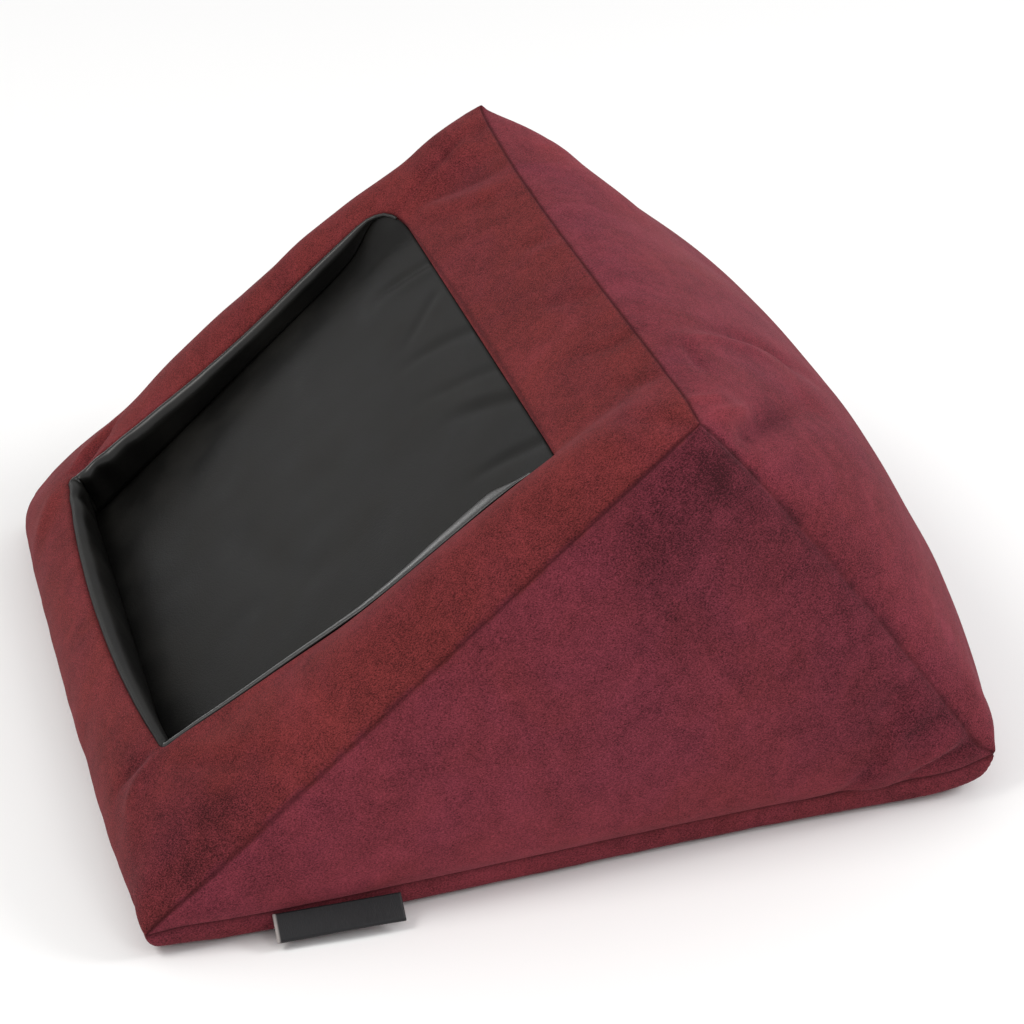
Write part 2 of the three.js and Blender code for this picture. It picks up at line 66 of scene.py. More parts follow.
# How far each seam leaves the straight line between its ends
FRONT_SEAM_BOW = vec(0, -0.5, 0)
BACK_SEAM_BOW = vec(0, 4, 0)
SIDE_SEAM_PULL = 4.5
RIDGE_SAG = vec(0, -3, -6)
RIDGE_SAG_SKEW = 0.5
BACK_EDGE_BOW = vec(0, 2, 1.5)

# The recess is tilted for reading. Its own frame runs up the slope from the front seam.
TILT = math.radians(41)
UP_SLOPE = vec(0, math.cos(TILT), math.sin(TILT))
OFF_SLOPE = vec(0, -math.sin(TILT), math.cos(TILT))
SLOPE_ORIGIN = vec(0, 0, SEAM)

# Front panel's middle line: share of its height, place up the slope, height over it, and how far
# the margins beside the recess swell
FRONT_PROFILE = np.array([
    (0.0, 0, 0, 0),
    (0.03, -0.6, 7, 0),
    (0.06, 4.6, 13.3, 0),
    (0.1, 13.5, 19, 0),
    (0.14, 26, 22, 0.2),
    (0.19, 44, 21, 0.5),
    (0.28, 78, 16.5, 2.5),
    (0.38, 108, 12.3, 5),
    (0.5, 145, 6.5, 9),
    (0.62, 180, 2.5, 10.5),
    (0.75, 217, -1.5, 9.7),
    (0.87, 252, -6.5, 8.5),
    (0.94, 272.5, -9.5, 6),
    (1.0, 290, -12.8, 0),
])
FRONT_SQUARENESS = 6
MARGIN_START = 0.72
LEFT_MARGIN_SWELL = 1.1

# Crowns of the back and of the sides: share of the panel's height and share of the crown
BACK_CROWN = 41.5
BACK_SQUARENESS = 3.4
BACK_PROFILE = np.array([
    (0.0, 0),
    (0.03, 0.37),
    (0.06, 0.51),
    (0.12, 0.65),
    (0.2, 0.76),
    (0.3, 0.84),
    (0.42, 0.95),
    (0.52, 1),
    (0.6, 0.99),
    (0.7, 0.88),
    (0.8, 0.69),
    (0.9, 0.47),
    (0.95, 0.32),
    (1.0, 0),
])
SIDE_CROWN = 15.0
SIDE_PROFILE = np.array([
    (0.0, 0),
    (0.04, 0.42),
    (0.1, 0.68),
    (0.2, 0.9),
    (0.38, 1),
    (0.6, 0.93),
    (0.78, 0.78),
    (0.9, 0.6),
    (0.96, 0.4),
    (1.0, 0),
])
BASE_ROLL = 12.0
BASE_ROLL_SWELL = 2.0
BASE_ROLL_SQUARENESS = 2.6

# Main folds of the velvet and places where the filling stands fuller or has sunk. Each has the
# places that it runs through, its rise out of the panel and how far from its line it fades.
FOLDS = {
    "front": [
        ([(116, 17, 54), (118, 9, 47), (117, 1, 39)], -2, 8),
        ([(118, 18, 55), (128, 7, 46), (148, 0, 33)], 2, 9),
        ([(124, 19, 56), (150, 38, 67), (175, 74, 81)], -1.8, 8),
        ([(130, 25, 59), (160, 55, 77), (178, 87, 83)], 1.4, 9),
        ([(-126, 177, 163), (-131, 190, 175), (-157, 225, 192)], 3, 6),
        ([(-120, 180, 166), (-102, 197, 173), (-86, 219, 187)], 1.6, 8),
        ([(-126, 21, 57), (-133, 28, 61), (-139, 34, 66)], -3, 5),
        ([(-127, 10, 48), (-112, 0, 38), (-102, -4, 31)], 1.5, 8),
        ([(-166, 8, 38), (-170, 28, 52), (-172, 45, 62)], -9, 24),
        ([(-172, -1, 18), (-160, -3, 20), (-146, -5, 22)], 3, 12),
        ([(-165, 58, 77), (-163, 88, 100), (-160, 115, 122)], -3, 22),
        ([(60, -6, 22), (110, -6, 22), (150, -3, 22)], -2.8, 16),
        ([(178, -1, 15), (177, -1, 22), (174, 0, 30)], 6, 10),
        ([(-159, 222, 191), (-152, 213, 186), (-146, 205, 181)], 7, 12),
    ],
    "back": [
        ([(168, 242, 179), (146, 260, 175), (104, 291, 158)], -3.5, 11),
        ([(167, 229, 191), (160, 237, 188), (149, 248, 184)], 2.5, 8),
        ([(92, 245, 190), (80, 268, 177), (69, 287, 164)], 2, 7),
        ([(85, 252, 187), (67, 279, 170), (64, 303, 151)], -2.2, 8),
        ([(94, 244, 190), (110, 243, 190), (125, 242, 190)], -1.5, 6),
        ([(166, 353, 18), (167, 354, 28), (167, 350, 44)], 8, 12),
        ([(-154, 236, 189), (-142, 242, 187), (-125, 248, 186)], 3, 13),
        ([(-60, 298, 160), (-90, 298, 156), (-120, 288, 155)], -4.5, 34),
    ],
    "right": [
        ([(170, 284, 15), (175, 298, 27), (176, 308, 56)], -3, 8),
        ([(169, 292, 14), (175, 304, 31), (174, 320, 54)], 3, 8),
        ([(169, 298, 14), (173, 319, 25), (172, 337, 35)], 3, 6),
        ([(171, 311, 16), (173, 327, 23), (171, 342, 30)], -3, 7),
    ],
    "left": [
        ([(-181, 10, 25), (-182, 30, 38), (-182, 48, 50)], -6, 20),
    ],
}
FOLD_STEPS = 4
FOLD_EASE = 0.25

# Counts of the cover's mesh along the width, the slopes and the depth of its panels
ACROSS = 72
SLOPE = 60
ALONG_DEPTH = 72
MARGIN_ROWS = 15

# The rows nearest a seam, in steps from it on most panels and in millimetres on the front one. They
# lie close together, so that the seam stays crisp.
SEAM_STEPS = (0.0, 0.18, 0.55, 1.2, 2.1)
SEAM_REACHES = (0.0, 0.9, 2.6, 5.2)

# Recess: each corner's place on the floor and on the rim, its radius, and the bow of the rim's
# edge that starts there, as x and up the slope
RECESS = [
    (vec(-125, 29.5), vec(-121, 38), 5, vec(0, -7.6)),
    (vec(122, 29.5), vec(119, 43), 5, vec(1.8, 0)),
    (vec(132, 236.8), vec(132, 236.8), 3, vec(0, 2.2)),
    (vec(-129, 231.8), vec(-129, 231.8), 18, vec(-1, 0)),
]
# Floor: place up the slope and height over it at its lower and upper edges
FLOOR_LOW = (30, -2.5)
FLOOR_HIGH = (232, -4.6)

# Walls of the recess, and how finely they are measured out
WALL_BULGE = 2.5
FULL_WALL = 24.0
CORNER_STEPS = 6
EDGE_STEPS = 14
LINING = 1.5
GAP = 0.3
RIM_ROUNDING = 2.4
UNDER_ROUNDING = 0.2
LEAST_WALL = 0.4
SEARCH_ROUNDS = 12
LOOP_SAMPLES = 400
FLOOR_SAMPLES = 300


def unit(vector):
    return vector / np.linalg.norm(vector)


def times(numbers, vector):
    return np.multiply.outer(numbers, vector)


def mix(first, second, share):
    return first + (second - first) * np.asarray(share)[..., None]


def distances(points, place):
    return np.linalg.norm(points - place, axis=1)


def bell(away, reach):
    """1 where nothing is away, fading out past the reach."""
    return np.exp(-(away / reach) ** 2)


def ease(value, start, end):
    """0 up to the start and 1 from the end on, with a soft step between."""
    share = np.clip((value - start) / (end - start), 0, 1)
    return share * share * (3 - 2 * share)


def read(table, column, share):
    """Smooth curve through the rows of a table, whose first column is the share."""
    shares = table[:, 0]
    values = table[:, column]
    high = np.clip(np.searchsorted(shares, share), 1, len(shares) - 1)
    low = high - 1
    before = np.maximum(high - 2, 0)
    after = np.minimum(high + 1, len(shares) - 1)
    width = shares[high] - shares[low]
    t = np.clip((share - shares[low]) / width, 0, 1)
    rise = values[high] - values[low]
    slope_low = (values[high] - values[before]) / (shares[high] - shares[before]) * width
    slope_high = (values[after] - values[low]) / (shares[after] - shares[low]) * width
    bend = t * (1 - t) * ((1 - t) * (slope_low - rise) - t * (slope_high - rise))
    return values[low] + rise * t + bend


def straight(start, end, t):
    return start + times(t, end - start)


def bowed(start, end, bow, t):
    return straight(start, end, t) + times(4 * t * (1 - t), bow)


def front_edge(side, t):
    return straight(FRONT[side], RIDGE[side], t)


def back_edge(side, t):
    return bowed(BACK[side], RIDGE[side], BACK_EDGE_BOW, t)


def ridge(t):
    t = np.clip(t, 0, 1)
    sag = np.sin(np.pi * t ** RIDGE_SAG_SKEW)
    return straight(RIDGE["left"], RIDGE["right"], t) + times(sag, RIDGE_SAG)


def base_front(t):
    return bowed(FRONT["left"], FRONT["right"], FRONT_SEAM_BOW, t)


def base_back(t):
    return bowed(BACK["left"], BACK["right"], BACK_SEAM_BOW, t)


def base_side(side, t):
    inward = SIDE_SEAM_PULL if side == "left" else -SIDE_SEAM_PULL
    pull = times(np.sin(np.pi * t * t), vec(inward, 0, 0))
    return straight(FRONT[side], BACK[side], t) + pull


def patch(u, v, bottom, top, left, right):
    """Fills four edges: bottom and top run with u, left and right run with v."""
    ends = np.array((0.0, 1.0))
    low = bottom(ends)
    high = top(ends)
    sides = mix(bottom(u), top(u), v) + mix(left(v), right(v), u)
    return sides - mix(straight(low[0], low[1], u), straight(high[0], high[1], u), v)


def blunted(points):
    """The points near a corner drawn in a little towards the cushion's core."""
    for corner in CORNERS:
        near = bell(distances(points, corner), BLUNTING_REACH)
        points = points + times(BLUNTING * near, unit(CORE - corner))
    points[:, 2] = np.maximum(points[:, 2], 0)
    return points


def lengths_along(line):
    """The length of a line of points up to each of them."""
    pieces = np.linalg.norm(np.diff(line, axis=0), axis=1)
    return np.concatenate(((0.0,), np.cumsum(pieces)))


def smooth_path(places, steps):
    """Points on a smooth curve through the places."""
    places = np.array(places, float)
    start = 2 * places[0] - places[1]
    end = 2 * places[-1] - places[-2]
    held = np.vstack((start, places, end))
    found = []
    for i in range(1, len(held) - 2):
        for t in np.arange(steps) / steps:
            a, b, c, d = held[i - 1:i + 3]
            bend = 2 * a - 5 * b + 4 * c - d + (3 * b - a - 3 * c + d) * t
            found.append(b + 0.5 * t * (c - a + bend * t))
    return np.array([*found, held[-2]])


def distance_to_path(points, path):
    """How far each point is from a line of short straight pieces."""
    nearest = np.full(len(points), np.inf)
    for start, end in zip(path[:-1], path[1:]):
        run = end - start
        share = np.clip((points - start) @ run / (run @ run), 0, 1)
        nearest = np.minimum(nearest, distances(points, start + times(share, run)))
    return nearest


def fold_rise(name, points, u, v):
    total = np.zeros(len(points))
    for places, rise, width in FOLDS.get(name, []):
        path = smooth_path(places, FOLD_STEPS)
        total += rise * bell(distance_to_path(points, path), width)
    return total * np.maximum(16 * u * (1 - u) * v * (1 - v), 0) ** FOLD_EASE


def square_crown(across, squareness):
    return np.sqrt(np.maximum(1 - np.abs(across) ** squareness, 0))


def front_point(u, v, folded=True):
    points = patch(
        u, v, base_front, ridge,
        lambda t: front_edge("left", t), lambda t: front_edge("right", t),
    )
    last = FRONT_PROFILE[-1]
    across = 2 * u - 1
    fall = square_crown(across, FRONT_SQUARENESS)
    beyond = np.maximum(np.abs(across) - MARGIN_START, 0) / (1 - MARGIN_START)
    along = read(FRONT_PROFILE, 1, v) - v * last[1]
    height = read(FRONT_PROFILE, 2, v) - v * last[2]
    side = np.where(across < 0, LEFT_MARGIN_SWELL, 1.0)
    swell = side * read(FRONT_PROFILE, 3, v) * np.sin(np.pi * np.minimum(beyond, 1))
    points = points + times(along * fall, UP_SLOPE) + times(height * fall + swell, OFF_SLOPE)
    if folded:
        points = points + times(fold_rise("front", points, u, v), OFF_SLOPE)
    return points


def back_point(u, v, folded=True):
    points = patch(
        u, v, lambda t: base_back(1 - t), lambda t: ridge(1 - t),
        lambda t: back_edge("right", t), lambda t: back_edge("left", t),
    )
    rise = RIDGE["right"][2] - BACK["right"][2]
    run = DEPTH - RIDGE["right"][1]
    outward = unit(vec(0, rise, run))
    crown = BACK_CROWN * read(BACK_PROFILE, 1, v)
    points = points + times(crown * square_crown(2 * u - 1, BACK_SQUARENESS), outward)
    if folded:
        points = points + times(fold_rise("back", points, u, v), outward)
    return points


def side_point(side, u, v, folded=True):
    ends = base_side(side, np.array((0.0, 1.0)))
    points = mix(front_edge(side, v), back_edge(side, v), u)
    drawn_in = base_side(side, u) - straight(ends[0], ends[1], u)
    points = points + drawn_in * (1 - v)[:, None]
    outward = vec(-1 if side == "left" else 1, 0, 0)
    crown = SIDE_CROWN * read(SIDE_PROFILE, 1, v) * square_crown(2 * u - 1, 2)
    points = points + times(crown, outward)
    if folded:
        points = points + times(fold_rise(side, points, u, v), outward)
    return points


def base_point(u, v, folded=True):
    points = patch(
        u, v, base_back, base_front,
        lambda t: base_side("left", 1 - t), lambda t: base_side("right", 1 - t),
    )
    inset_x = (1 - np.abs(2 * u - 1)) * FRONT["right"][0]
    inset_y = (1 - np.abs(2 * v - 1)) * DEPTH / 2
    power = BASE_ROLL_SQUARENESS

    def drop(inset):
        share = np.minimum(inset / BASE_ROLL, 1)
        return 1 - (1 - (1 - share) ** power) ** (1 / power)

    def swell(inset):
        return BASE_ROLL_SWELL * np.sin(np.pi * np.minimum(inset / BASE_ROLL, 1))

    points[:, 2] *= drop(inset_x) + drop(inset_y) - drop(inset_x) * drop(inset_y)
    points[:, 0] += np.sign(2 * u - 1) * swell(inset_x) * (1 - drop(inset_y))
    points[:, 1] -= np.sign(2 * v - 1) * swell(inset_y) * (1 - drop(inset_x))
    return points


UNFOLDED = "unfolded"


def graded(step, count):
    """Share of the way at each of so many steps, which are drawn together towards both ends."""
    near = len(SEAM_STEPS) - 1
    knots = [*range(near + 1), *range(count - near, count + 1)]
    steps = [*SEAM_STEPS, *(count - reach for reach in reversed(SEAM_STEPS))]
    return np.interp(step, knots, steps) / count


def from_seam(step, count):
    """The same for a run that starts at a seam and ends inside the panel."""
    return np.interp(step, [*range(len(SEAM_STEPS)), count], [*SEAM_STEPS, count]) / count


def rounded_loop(places, bows):
    """Outline with rounded corners, anticlockwise, as four runs from one corner's middle on."""
    loop = []
    for i, (_, _, radius, _) in enumerate(RECESS):
        here = places[i]
        before = places[i - 1]
        after = places[(i + 1) % 4]
        entry = here + unit(before - here) * radius
        leave = here + unit(after - here) * radius
        next_entry = after + unit(here - after) * RECESS[(i + 1) % 4][2]
        for t in np.linspace(0, 1, CORNER_STEPS + 1):
            loop.append((1 - t) ** 2 * entry + 2 * t * (1 - t) * here + t * t * leave)
        for t in np.arange(1, EDGE_STEPS) / EDGE_STEPS:
            loop.append(leave + (next_entry - leave) * t + bows[i] * 4 * t * (1 - t))
    return np.array(loop)


# Places round the recess are counted in steps from the start of its lower left corner. A wall
# starts and ends in the middle of a corner, or where it has tapered out at the top.
SIDE_STEPS = CORNER_STEPS + EDGE_STEPS
LEFT_CORNER = CORNER_STEPS / 2
RIGHT_CORNER = SIDE_STEPS + LEFT_CORNER
TOP_RIGHT = 2 * SIDE_STEPS - 0.5
TOP_LEFT = 3 * SIDE_STEPS + 1.5
FULL_LOOP = 4 * SIDE_STEPS
FLOOR_LOOP = rounded_loop([corner[0] for corner in RECESS], np.zeros((4, 2)))
RIM_LOOP = rounded_loop([corner[1] for corner in RECESS], [corner[3] for corner in RECESS])
ALONG_LOOP = np.roll(FLOOR_LOOP, -1, axis=0) - np.roll(FLOOR_LOOP, 1, axis=0)
ALONG_LOOP /= np.linalg.norm(ALONG_LOOP, axis=1)[:, None]
INWARD_LOOP = np.column_stack((-ALONG_LOOP[:, 1], ALONG_LOOP[:, 0]))


def on_loop(loop, position):
    low = np.floor(position).astype(int)
    return mix(loop[low % len(loop)], loop[(low + 1) % len(loop)], position - low)


def slope_point(x, along, height):
    across = np.column_stack((x, np.zeros_like(x), np.zeros_like(x)))
    return SLOPE_ORIGIN + across + times(along, UP_SLOPE) + times(height, OFF_SLOPE)


def front_share(x, along):
    """Where on the front panel a place over the recess's frame lies, and its height there."""
    width = FRONT["right"][0] - FRONT["left"][0]
    length = FRONT_PROFILE[-1][1]
    u = (x - FRONT["left"][0]) / width
    v = along / length
    for _ in range(SEARCH_ROUNDS):
        points = blunted(front_point(u, v))
        offset = points - SLOPE_ORIGIN
        u = u + (x - points[:, 0]) / width
        v = v + (along - offset @ UP_SLOPE) / length
    return u, v, offset @ OFF_SLOPE


def lining_height(along):
    share = (along - FLOOR_LOW[0]) / (FLOOR_HIGH[0] - FLOOR_LOW[0])
    return FLOOR_LOW[1] + share * (FLOOR_HIGH[1] - FLOOR_LOW[1])


RIM_HEIGHT = front_share(RIM_LOOP[:, 0], RIM_LOOP[:, 1])[2][:, None]


def wall_point(position, rise, inset):
    """Point of the recess's wall, from 0 over the floor lining to 1 at the rim."""
    foot = on_loop(FLOOR_LOOP, position)
    rim = on_loop(RIM_LOOP, position)
    bottom = lining_height(foot[:, 1]) + GAP
    top = on_loop(RIM_HEIGHT, position)[:, 0]
    on_edge = np.clip((position % SIDE_STEPS - CORNER_STEPS) / EDGE_STEPS, 0, 1)
    fullness = np.minimum((top - bottom) / FULL_WALL, 1) * np.sin(np.pi * on_edge) ** 0.5
    bulge = WALL_BULGE * fullness * np.sin(np.pi * np.clip(rise, 0, 1))
    plan = mix(foot, rim, rise) + on_loop(INWARD_LOOP, position) * (inset + bulge)[:, None]
    return slope_point(plan[:, 0], plan[:, 1], bottom + (top - bottom) * rise)


def loop_positions():
    """Places round the recess, one for each step round the front panel's outer seams."""
    places = []
    for i, count in enumerate((ACROSS, SLOPE, ACROSS, SLOPE)):
        fine = LEFT_CORNER + SIDE_STEPS * (i + np.linspace(0, 1, LOOP_SAMPLES + 1))
        length = lengths_along(on_loop(RIM_LOOP, fine))
        wanted = length[-1] * np.arange(count) / count
        places.append(np.interp(wanted, length, fine))
    return np.concatenate(places)


def outer_seam():
    """Shares (u, v) round the front panel's seams, one for each loop position."""
    across = graded(np.arange(ACROSS), ACROSS)
    slope = graded(np.arange(SLOPE), SLOPE)
    return np.vstack((
        np.column_stack((across, np.zeros(ACROSS))),
        np.column_stack((np.ones(SLOPE), slope)),
        np.column_stack((1 - across, np.ones(ACROSS))),
        np.column_stack((np.zeros(SLOPE), 1 - slope)),
    ))


def placed(name, columns, rows, place, smooth_place=None, **marks):
    """A sheet of faces whose points are placed by their shares of its width and height.

    smooth_place gives their places without the folds, which are kept beside the others. Each mark
    is a number, or a function of the shares, that is kept at the points under its name.
    """
    sheet = bmesh.new()
    bmesh.ops.create_grid(sheet, x_segments=columns, y_segments=rows, size=0.5)
    flat = np.array([vertex.co[:2] for vertex in sheet.verts]) + 0.5
    if smooth_place:
        layer = sheet.verts.layers.float_vector.new(UNFOLDED)
        for vertex, point in zip(sheet.verts, smooth_place(flat[:, 0], flat[:, 1])):
            vertex[layer] = Vector(point)
    for mark, value in marks.items():
        layer = sheet.verts.layers.float.new(mark)
        for vertex, share in zip(sheet.verts, flat):
            vertex[layer] = value(*share) if callable(value) else value
    for vertex, point in zip(sheet.verts, place(flat[:, 0], flat[:, 1])):
        vertex.co = Vector(point)
    mesh = bpy.data.meshes.new(name)
    sheet.to_mesh(mesh)
    sheet.free()
    return mesh


def vectors(items, kind="vector"):
    """What a mesh's items hold, one vector on each row."""
    found = np.empty(len(items) * 3, np.float32)
    items.foreach_get(kind, found)
    return found.reshape(-1, 3).astype(float)


def coordinates(mesh):
    return vectors(mesh.vertices, "co")


def set_coordinates(mesh, points):
    mesh.vertices.foreach_set("co", np.asarray(points, np.float32).ravel())
    mesh.update()


MERGE_WITHIN = 0.02


def joined(name, meshes):
    """One closed mesh from sheets that meet at their edges, its faces pointing outwards."""
    whole = bmesh.new()
    for mesh in meshes:
        whole.from_mesh(mesh)
        bpy.data.meshes.remove(mesh)
    bmesh.ops.remove_doubles(whole, verts=whole.verts[:], dist=MERGE_WITHIN)
    bmesh.ops.holes_fill(whole, edges=whole.edges[:], sides=0)
    bmesh.ops.recalc_face_normals(whole, faces=whole.faces[:])
    mesh = bpy.data.meshes.new(name)
    whole.to_mesh(mesh)
    whole.free()
    return mesh


def snapped(share, count):
    """The share of the nearest of so many even steps, graded towards both ends."""
    return graded(np.rint(share * count), count)


# Rows of the front panel's ring: over the margin, over the rounded rim and down the wall to under
# the floor lining
WALL_ROWS = 6
RIM_REACHES = (3.6, 2.2, 1.2, 0.5, 0.0)
MARGIN_END = RIM_REACHES[0] * 1.5
RING_ROWS = MARGIN_ROWS + len(RIM_REACHES) + WALL_ROWS
RING_SIZE = 2 * (ACROSS + SLOPE)


def front_ring(folded):
    positions = loop_positions()
    rim = on_loop(RIM_LOOP, positions)
    rim_u, rim_v, _ = front_share(rim[:, 0], rim[:, 1])
    rim_share = np.column_stack((rim_u, rim_v))
    seam_share = outer_seam()
    seam_place = blunted(front_point(seam_share[:, 0], seam_share[:, 1], folded))
    rim_place = blunted(front_point(rim_u, rim_v, folded))
    width = distances(seam_place, rim_place)
    bottom = lining_height(on_loop(FLOOR_LOOP, positions)[:, 1]) + GAP
    wall = (rim_place - SLOPE_ORIGIN) @ OFF_SLOPE - bottom
    radius = np.clip(wall - UNDER_ROUNDING, LEAST_WALL, RIM_ROUNDING)
    rows = []
    last = len(SEAM_REACHES) - 1
    for i in range(MARGIN_ROWS):
        beyond = max(i - last, 0) / (MARGIN_ROWS - last)
        reach = SEAM_REACHES[min(i, last)]
        rows.append((reach + (width - MARGIN_END - reach) * beyond) / width)
    rows += [1 - reach / width for reach in RIM_REACHES]
    rings = []
    for share in rows:
        place = mix(seam_share, rim_share, share)
        points = blunted(front_point(place[:, 0], place[:, 1], folded))
        left = np.clip(1 - (1 - share) * width / radius, 0, 1)
        drop = radius * (1 - np.sqrt(1 - left ** 2))
        rings.append(points - times(drop, OFF_SLOPE))
    for i in range(1, WALL_ROWS + 1):
        level = 1 - i / WALL_ROWS
        rise = level * (1 - radius / np.maximum(wall, 1))
        rings.append(wall_point(positions, rise, np.zeros(len(positions))))
    rings.append(rings[-1] - (LINING + 2 * GAP) * OFF_SLOPE)
    return np.array(rings)


def panel(name, columns, rows, placing, plum, lined=0.0):
    """A panel of the cover, placed with its folds and without them."""
    return placed(name, columns, rows, placing(True), placing(False), lined=lined, plum=plum)


def front_panel():
    def placing(folded):
        rings = front_ring(folded)

        def place(u, v):
            row = np.rint(v * RING_ROWS).astype(int)
            return rings[row, np.rint(u * RING_SIZE).astype(int) % RING_SIZE]

        return place

    def lined(u, v):
        return float(v * RING_ROWS > MARGIN_ROWS + len(RIM_REACHES) - 0.5)

    return panel("front", RING_SIZE, RING_ROWS, placing, 0.0, lined)


def four_sided(name, point, columns, rows, plum):
    def placing(folded):
        return lambda u, v: blunted(point(snapped(u, columns), snapped(v, rows), folded))

    return panel(name, columns, rows, placing, plum)


def side_panels(side):
    """A three-sided panel as three four-sided patches that meet in its middle."""
    half = ALONG_DEPTH // 2
    rest = SLOPE - half
    middle = vec(0.5, 0.38)

    def on_base(i):
        t = graded(i, ALONG_DEPTH)
        return np.column_stack((t, np.zeros_like(t)))

    def on_front(i):
        t = graded(i, SLOPE)
        return np.column_stack((t / 2, t))

    def on_back(i):
        t = graded(i, SLOPE)
        return np.column_stack((1 - t / 2, t))

    base_split = on_base(np.array((half,)))[0]
    front_split = on_front(np.array((rest,)))[0]
    back_split = on_back(np.array((rest,)))[0]

    def shares(flat):
        v = flat[:, 1]
        u = (flat[:, 0] - 0.5) / np.maximum(1 - v, 1e-6) + 0.5
        return np.clip(u, 0, 1), v

    def inner(start, count):
        return lambda t: straight(start, middle, from_seam(t * count, count))

    def patch_mesh(name, columns, rows, bottom, top, left, right):
        def placing(folded):
            def place(u, v):
                flat = patch(u, v, bottom, top, left, right)
                return blunted(side_point(side, *shares(flat), folded))

            return place

        return panel(name, columns, rows, placing, 1.0)

    return [
        patch_mesh(
            side + "_low", half, rest,
            lambda t: on_base(t * half), inner(front_split, half),
            lambda t: on_front(t * rest), inner(base_split, rest),
        ),
        patch_mesh(
            side + "_back", half, rest,
            lambda t: on_base(ALONG_DEPTH - t * half), inner(back_split, half),
            lambda t: on_back(t * rest), inner(base_split, rest),
        ),
        patch_mesh(
            side + "_top", half, half,
            lambda t: on_front(SLOPE - t * half), inner(back_split, half),
            lambda t: on_back(SLOPE - t * half), inner(front_split, half),
        ),
    ]


def sewn_cover(name):
    """The cover of five panels, in the sewing frame."""
    return joined(name, [
        front_panel(),
        four_sided("back", back_point, ACROSS, SLOPE, 0.9),
        four_sided("base", base_point, ACROSS, ALONG_DEPTH, 0.8),
        *side_panels("right"),
        *side_panels("left"),
    ])


def to_part(points):
    return (points + SHIFT) * MM


def to_sewing(points):
    return points / MM - SHIFT


def shown(name, mesh):
    piece = bpy.data.objects.new(name, mesh)
    bpy.context.scene.collection.objects.link(piece)
    for polygon in mesh.polygons:
        polygon.use_smooth = True
    return piece


SEAM_SAMPLES = 1500


def seam_lines():
    """Each seam of the cover as points that lie close together."""
    t = np.linspace(0, 1, SEAM_SAMPLES)
    lines = [base_front(t), base_back(t), ridge(t)]
    for side in ("left", "right"):
        lines += [front_edge(side, t), back_edge(side, t), base_side(side, t)]
    return [blunted(line) for line in lines]


def nearest_seam(points):
    """For each point: its distance to the nearest seam, the place along it and which seam it is."""
    lines = seam_lines()
    tree = kdtree.KDTree(SEAM_SAMPLES * len(lines))
    for index, place in enumerate(np.vstack(lines)):
        tree.insert(Vector(place), index)
    tree.balance()
    found = [tree.find(Vector(point)) for point in points]
    which, step = np.divmod([hit[1] for hit in found], SEAM_SAMPLES)
    lengths = np.array([lengths_along(line) for line in lines])
    return np.array([hit[2] for hit in found]), lengths[which, step], lengths[which, -1], which


def rim_gap(points):
    rim = slope_point(RIM_LOOP[:, 0], RIM_LOOP[:, 1], RIM_HEIGHT[:, 0])
    return distance_to_path(points, np.vstack((rim, rim[:1])))


def numbers(mesh, name):
    found = np.empty(len(mesh.vertices), np.float32)
    mesh.attributes[name].data.foreach_get("value", found)
    return found.astype(float)


# Filling pressed out by Blender's cloth. The seams, the recess and the base's flat middle are held.
PRESSURE = 4.0
LAST_FRAME = 20
MOST_MOVE = 5.0
HELD_NEAR_SEAM = (1.0, 20.0)
HELD_NEAR_RIM = (1.0, 16.0)


def freedom(points, lined):
    free = ease(nearest_seam(points)[0], *HELD_NEAR_SEAM) * ease(rim_gap(points), *HELD_NEAR_RIM)
    return free * (lined < 0.5) * ease(points[:, 2], 2, 14)


def filled_moves(cover, free):
    """How far the filling presses each point of the unfolded cover out, in millimetres."""
    mesh = cover.copy()
    start = vectors(mesh.attributes[UNFOLDED].data)
    set_coordinates(mesh, to_part(start))
    piece = shown("filling", mesh)
    held = piece.vertex_groups.new(name="held")
    for index, share in enumerate(free):
        held.add([index], 1 - share, "REPLACE")
    cloth = piece.modifiers.new("filling", "CLOTH")
    cloth.settings.quality = 5
    cloth.settings.vertex_group_mass = "held"
    cloth.settings.use_pressure = True
    cloth.settings.uniform_pressure_force = PRESSURE
    cloth.settings.effector_weights.gravity = 0
    cloth.collision_settings.use_collision = False
    cloth.point_cache.frame_start = 1
    cloth.point_cache.frame_end = LAST_FRAME
    scene = bpy.context.scene
    for number in range(1, LAST_FRAME + 1):
        scene.frame_set(number)
    moved = piece.evaluated_get(bpy.context.evaluated_depsgraph_get()).to_mesh()
    moves = to_sewing(coordinates(moved)) - start
    scene.frame_set(1)
    bpy.data.objects.remove(piece)
    bpy.data.meshes.remove(mesh)
    return moves


def capped(moves, most):
    length = np.maximum(np.linalg.norm(moves, axis=1), 1e-9)
    return moves * (most * np.tanh(length / most) / length)[:, None]


def subdivided(piece):
    """The piece's mesh, each face split and smoothed but for the one under the floor lining."""
    cover = bmesh.new()
    cover.from_mesh(piece.data)
    wide = [face for face in cover.faces if len(face.verts) > 4]
    bmesh.ops.delete(cover, geom=wide, context="FACES_ONLY")
    cover.to_mesh(piece.data)
    cover.free()
    finer = piece.modifiers.new("finer", "SUBSURF")
    finer.levels = 1
    finer.render_levels = 1
    graph = bpy.context.evaluated_depsgraph_get()
    mesh = bpy.data.meshes.new_from_object(piece.evaluated_get(graph))
    piece.modifiers.remove(finer)
    cover = bmesh.new()
    cover.from_mesh(mesh)
    bmesh.ops.holes_fill(cover, edges=cover.edges[:], sides=0)
    for face in cover.faces:
        face.smooth = True
    cover.to_mesh(mesh)
    cover.free()
    old = piece.data
    piece.data = mesh
    bpy.data.meshes.remove(old)
    return mesh


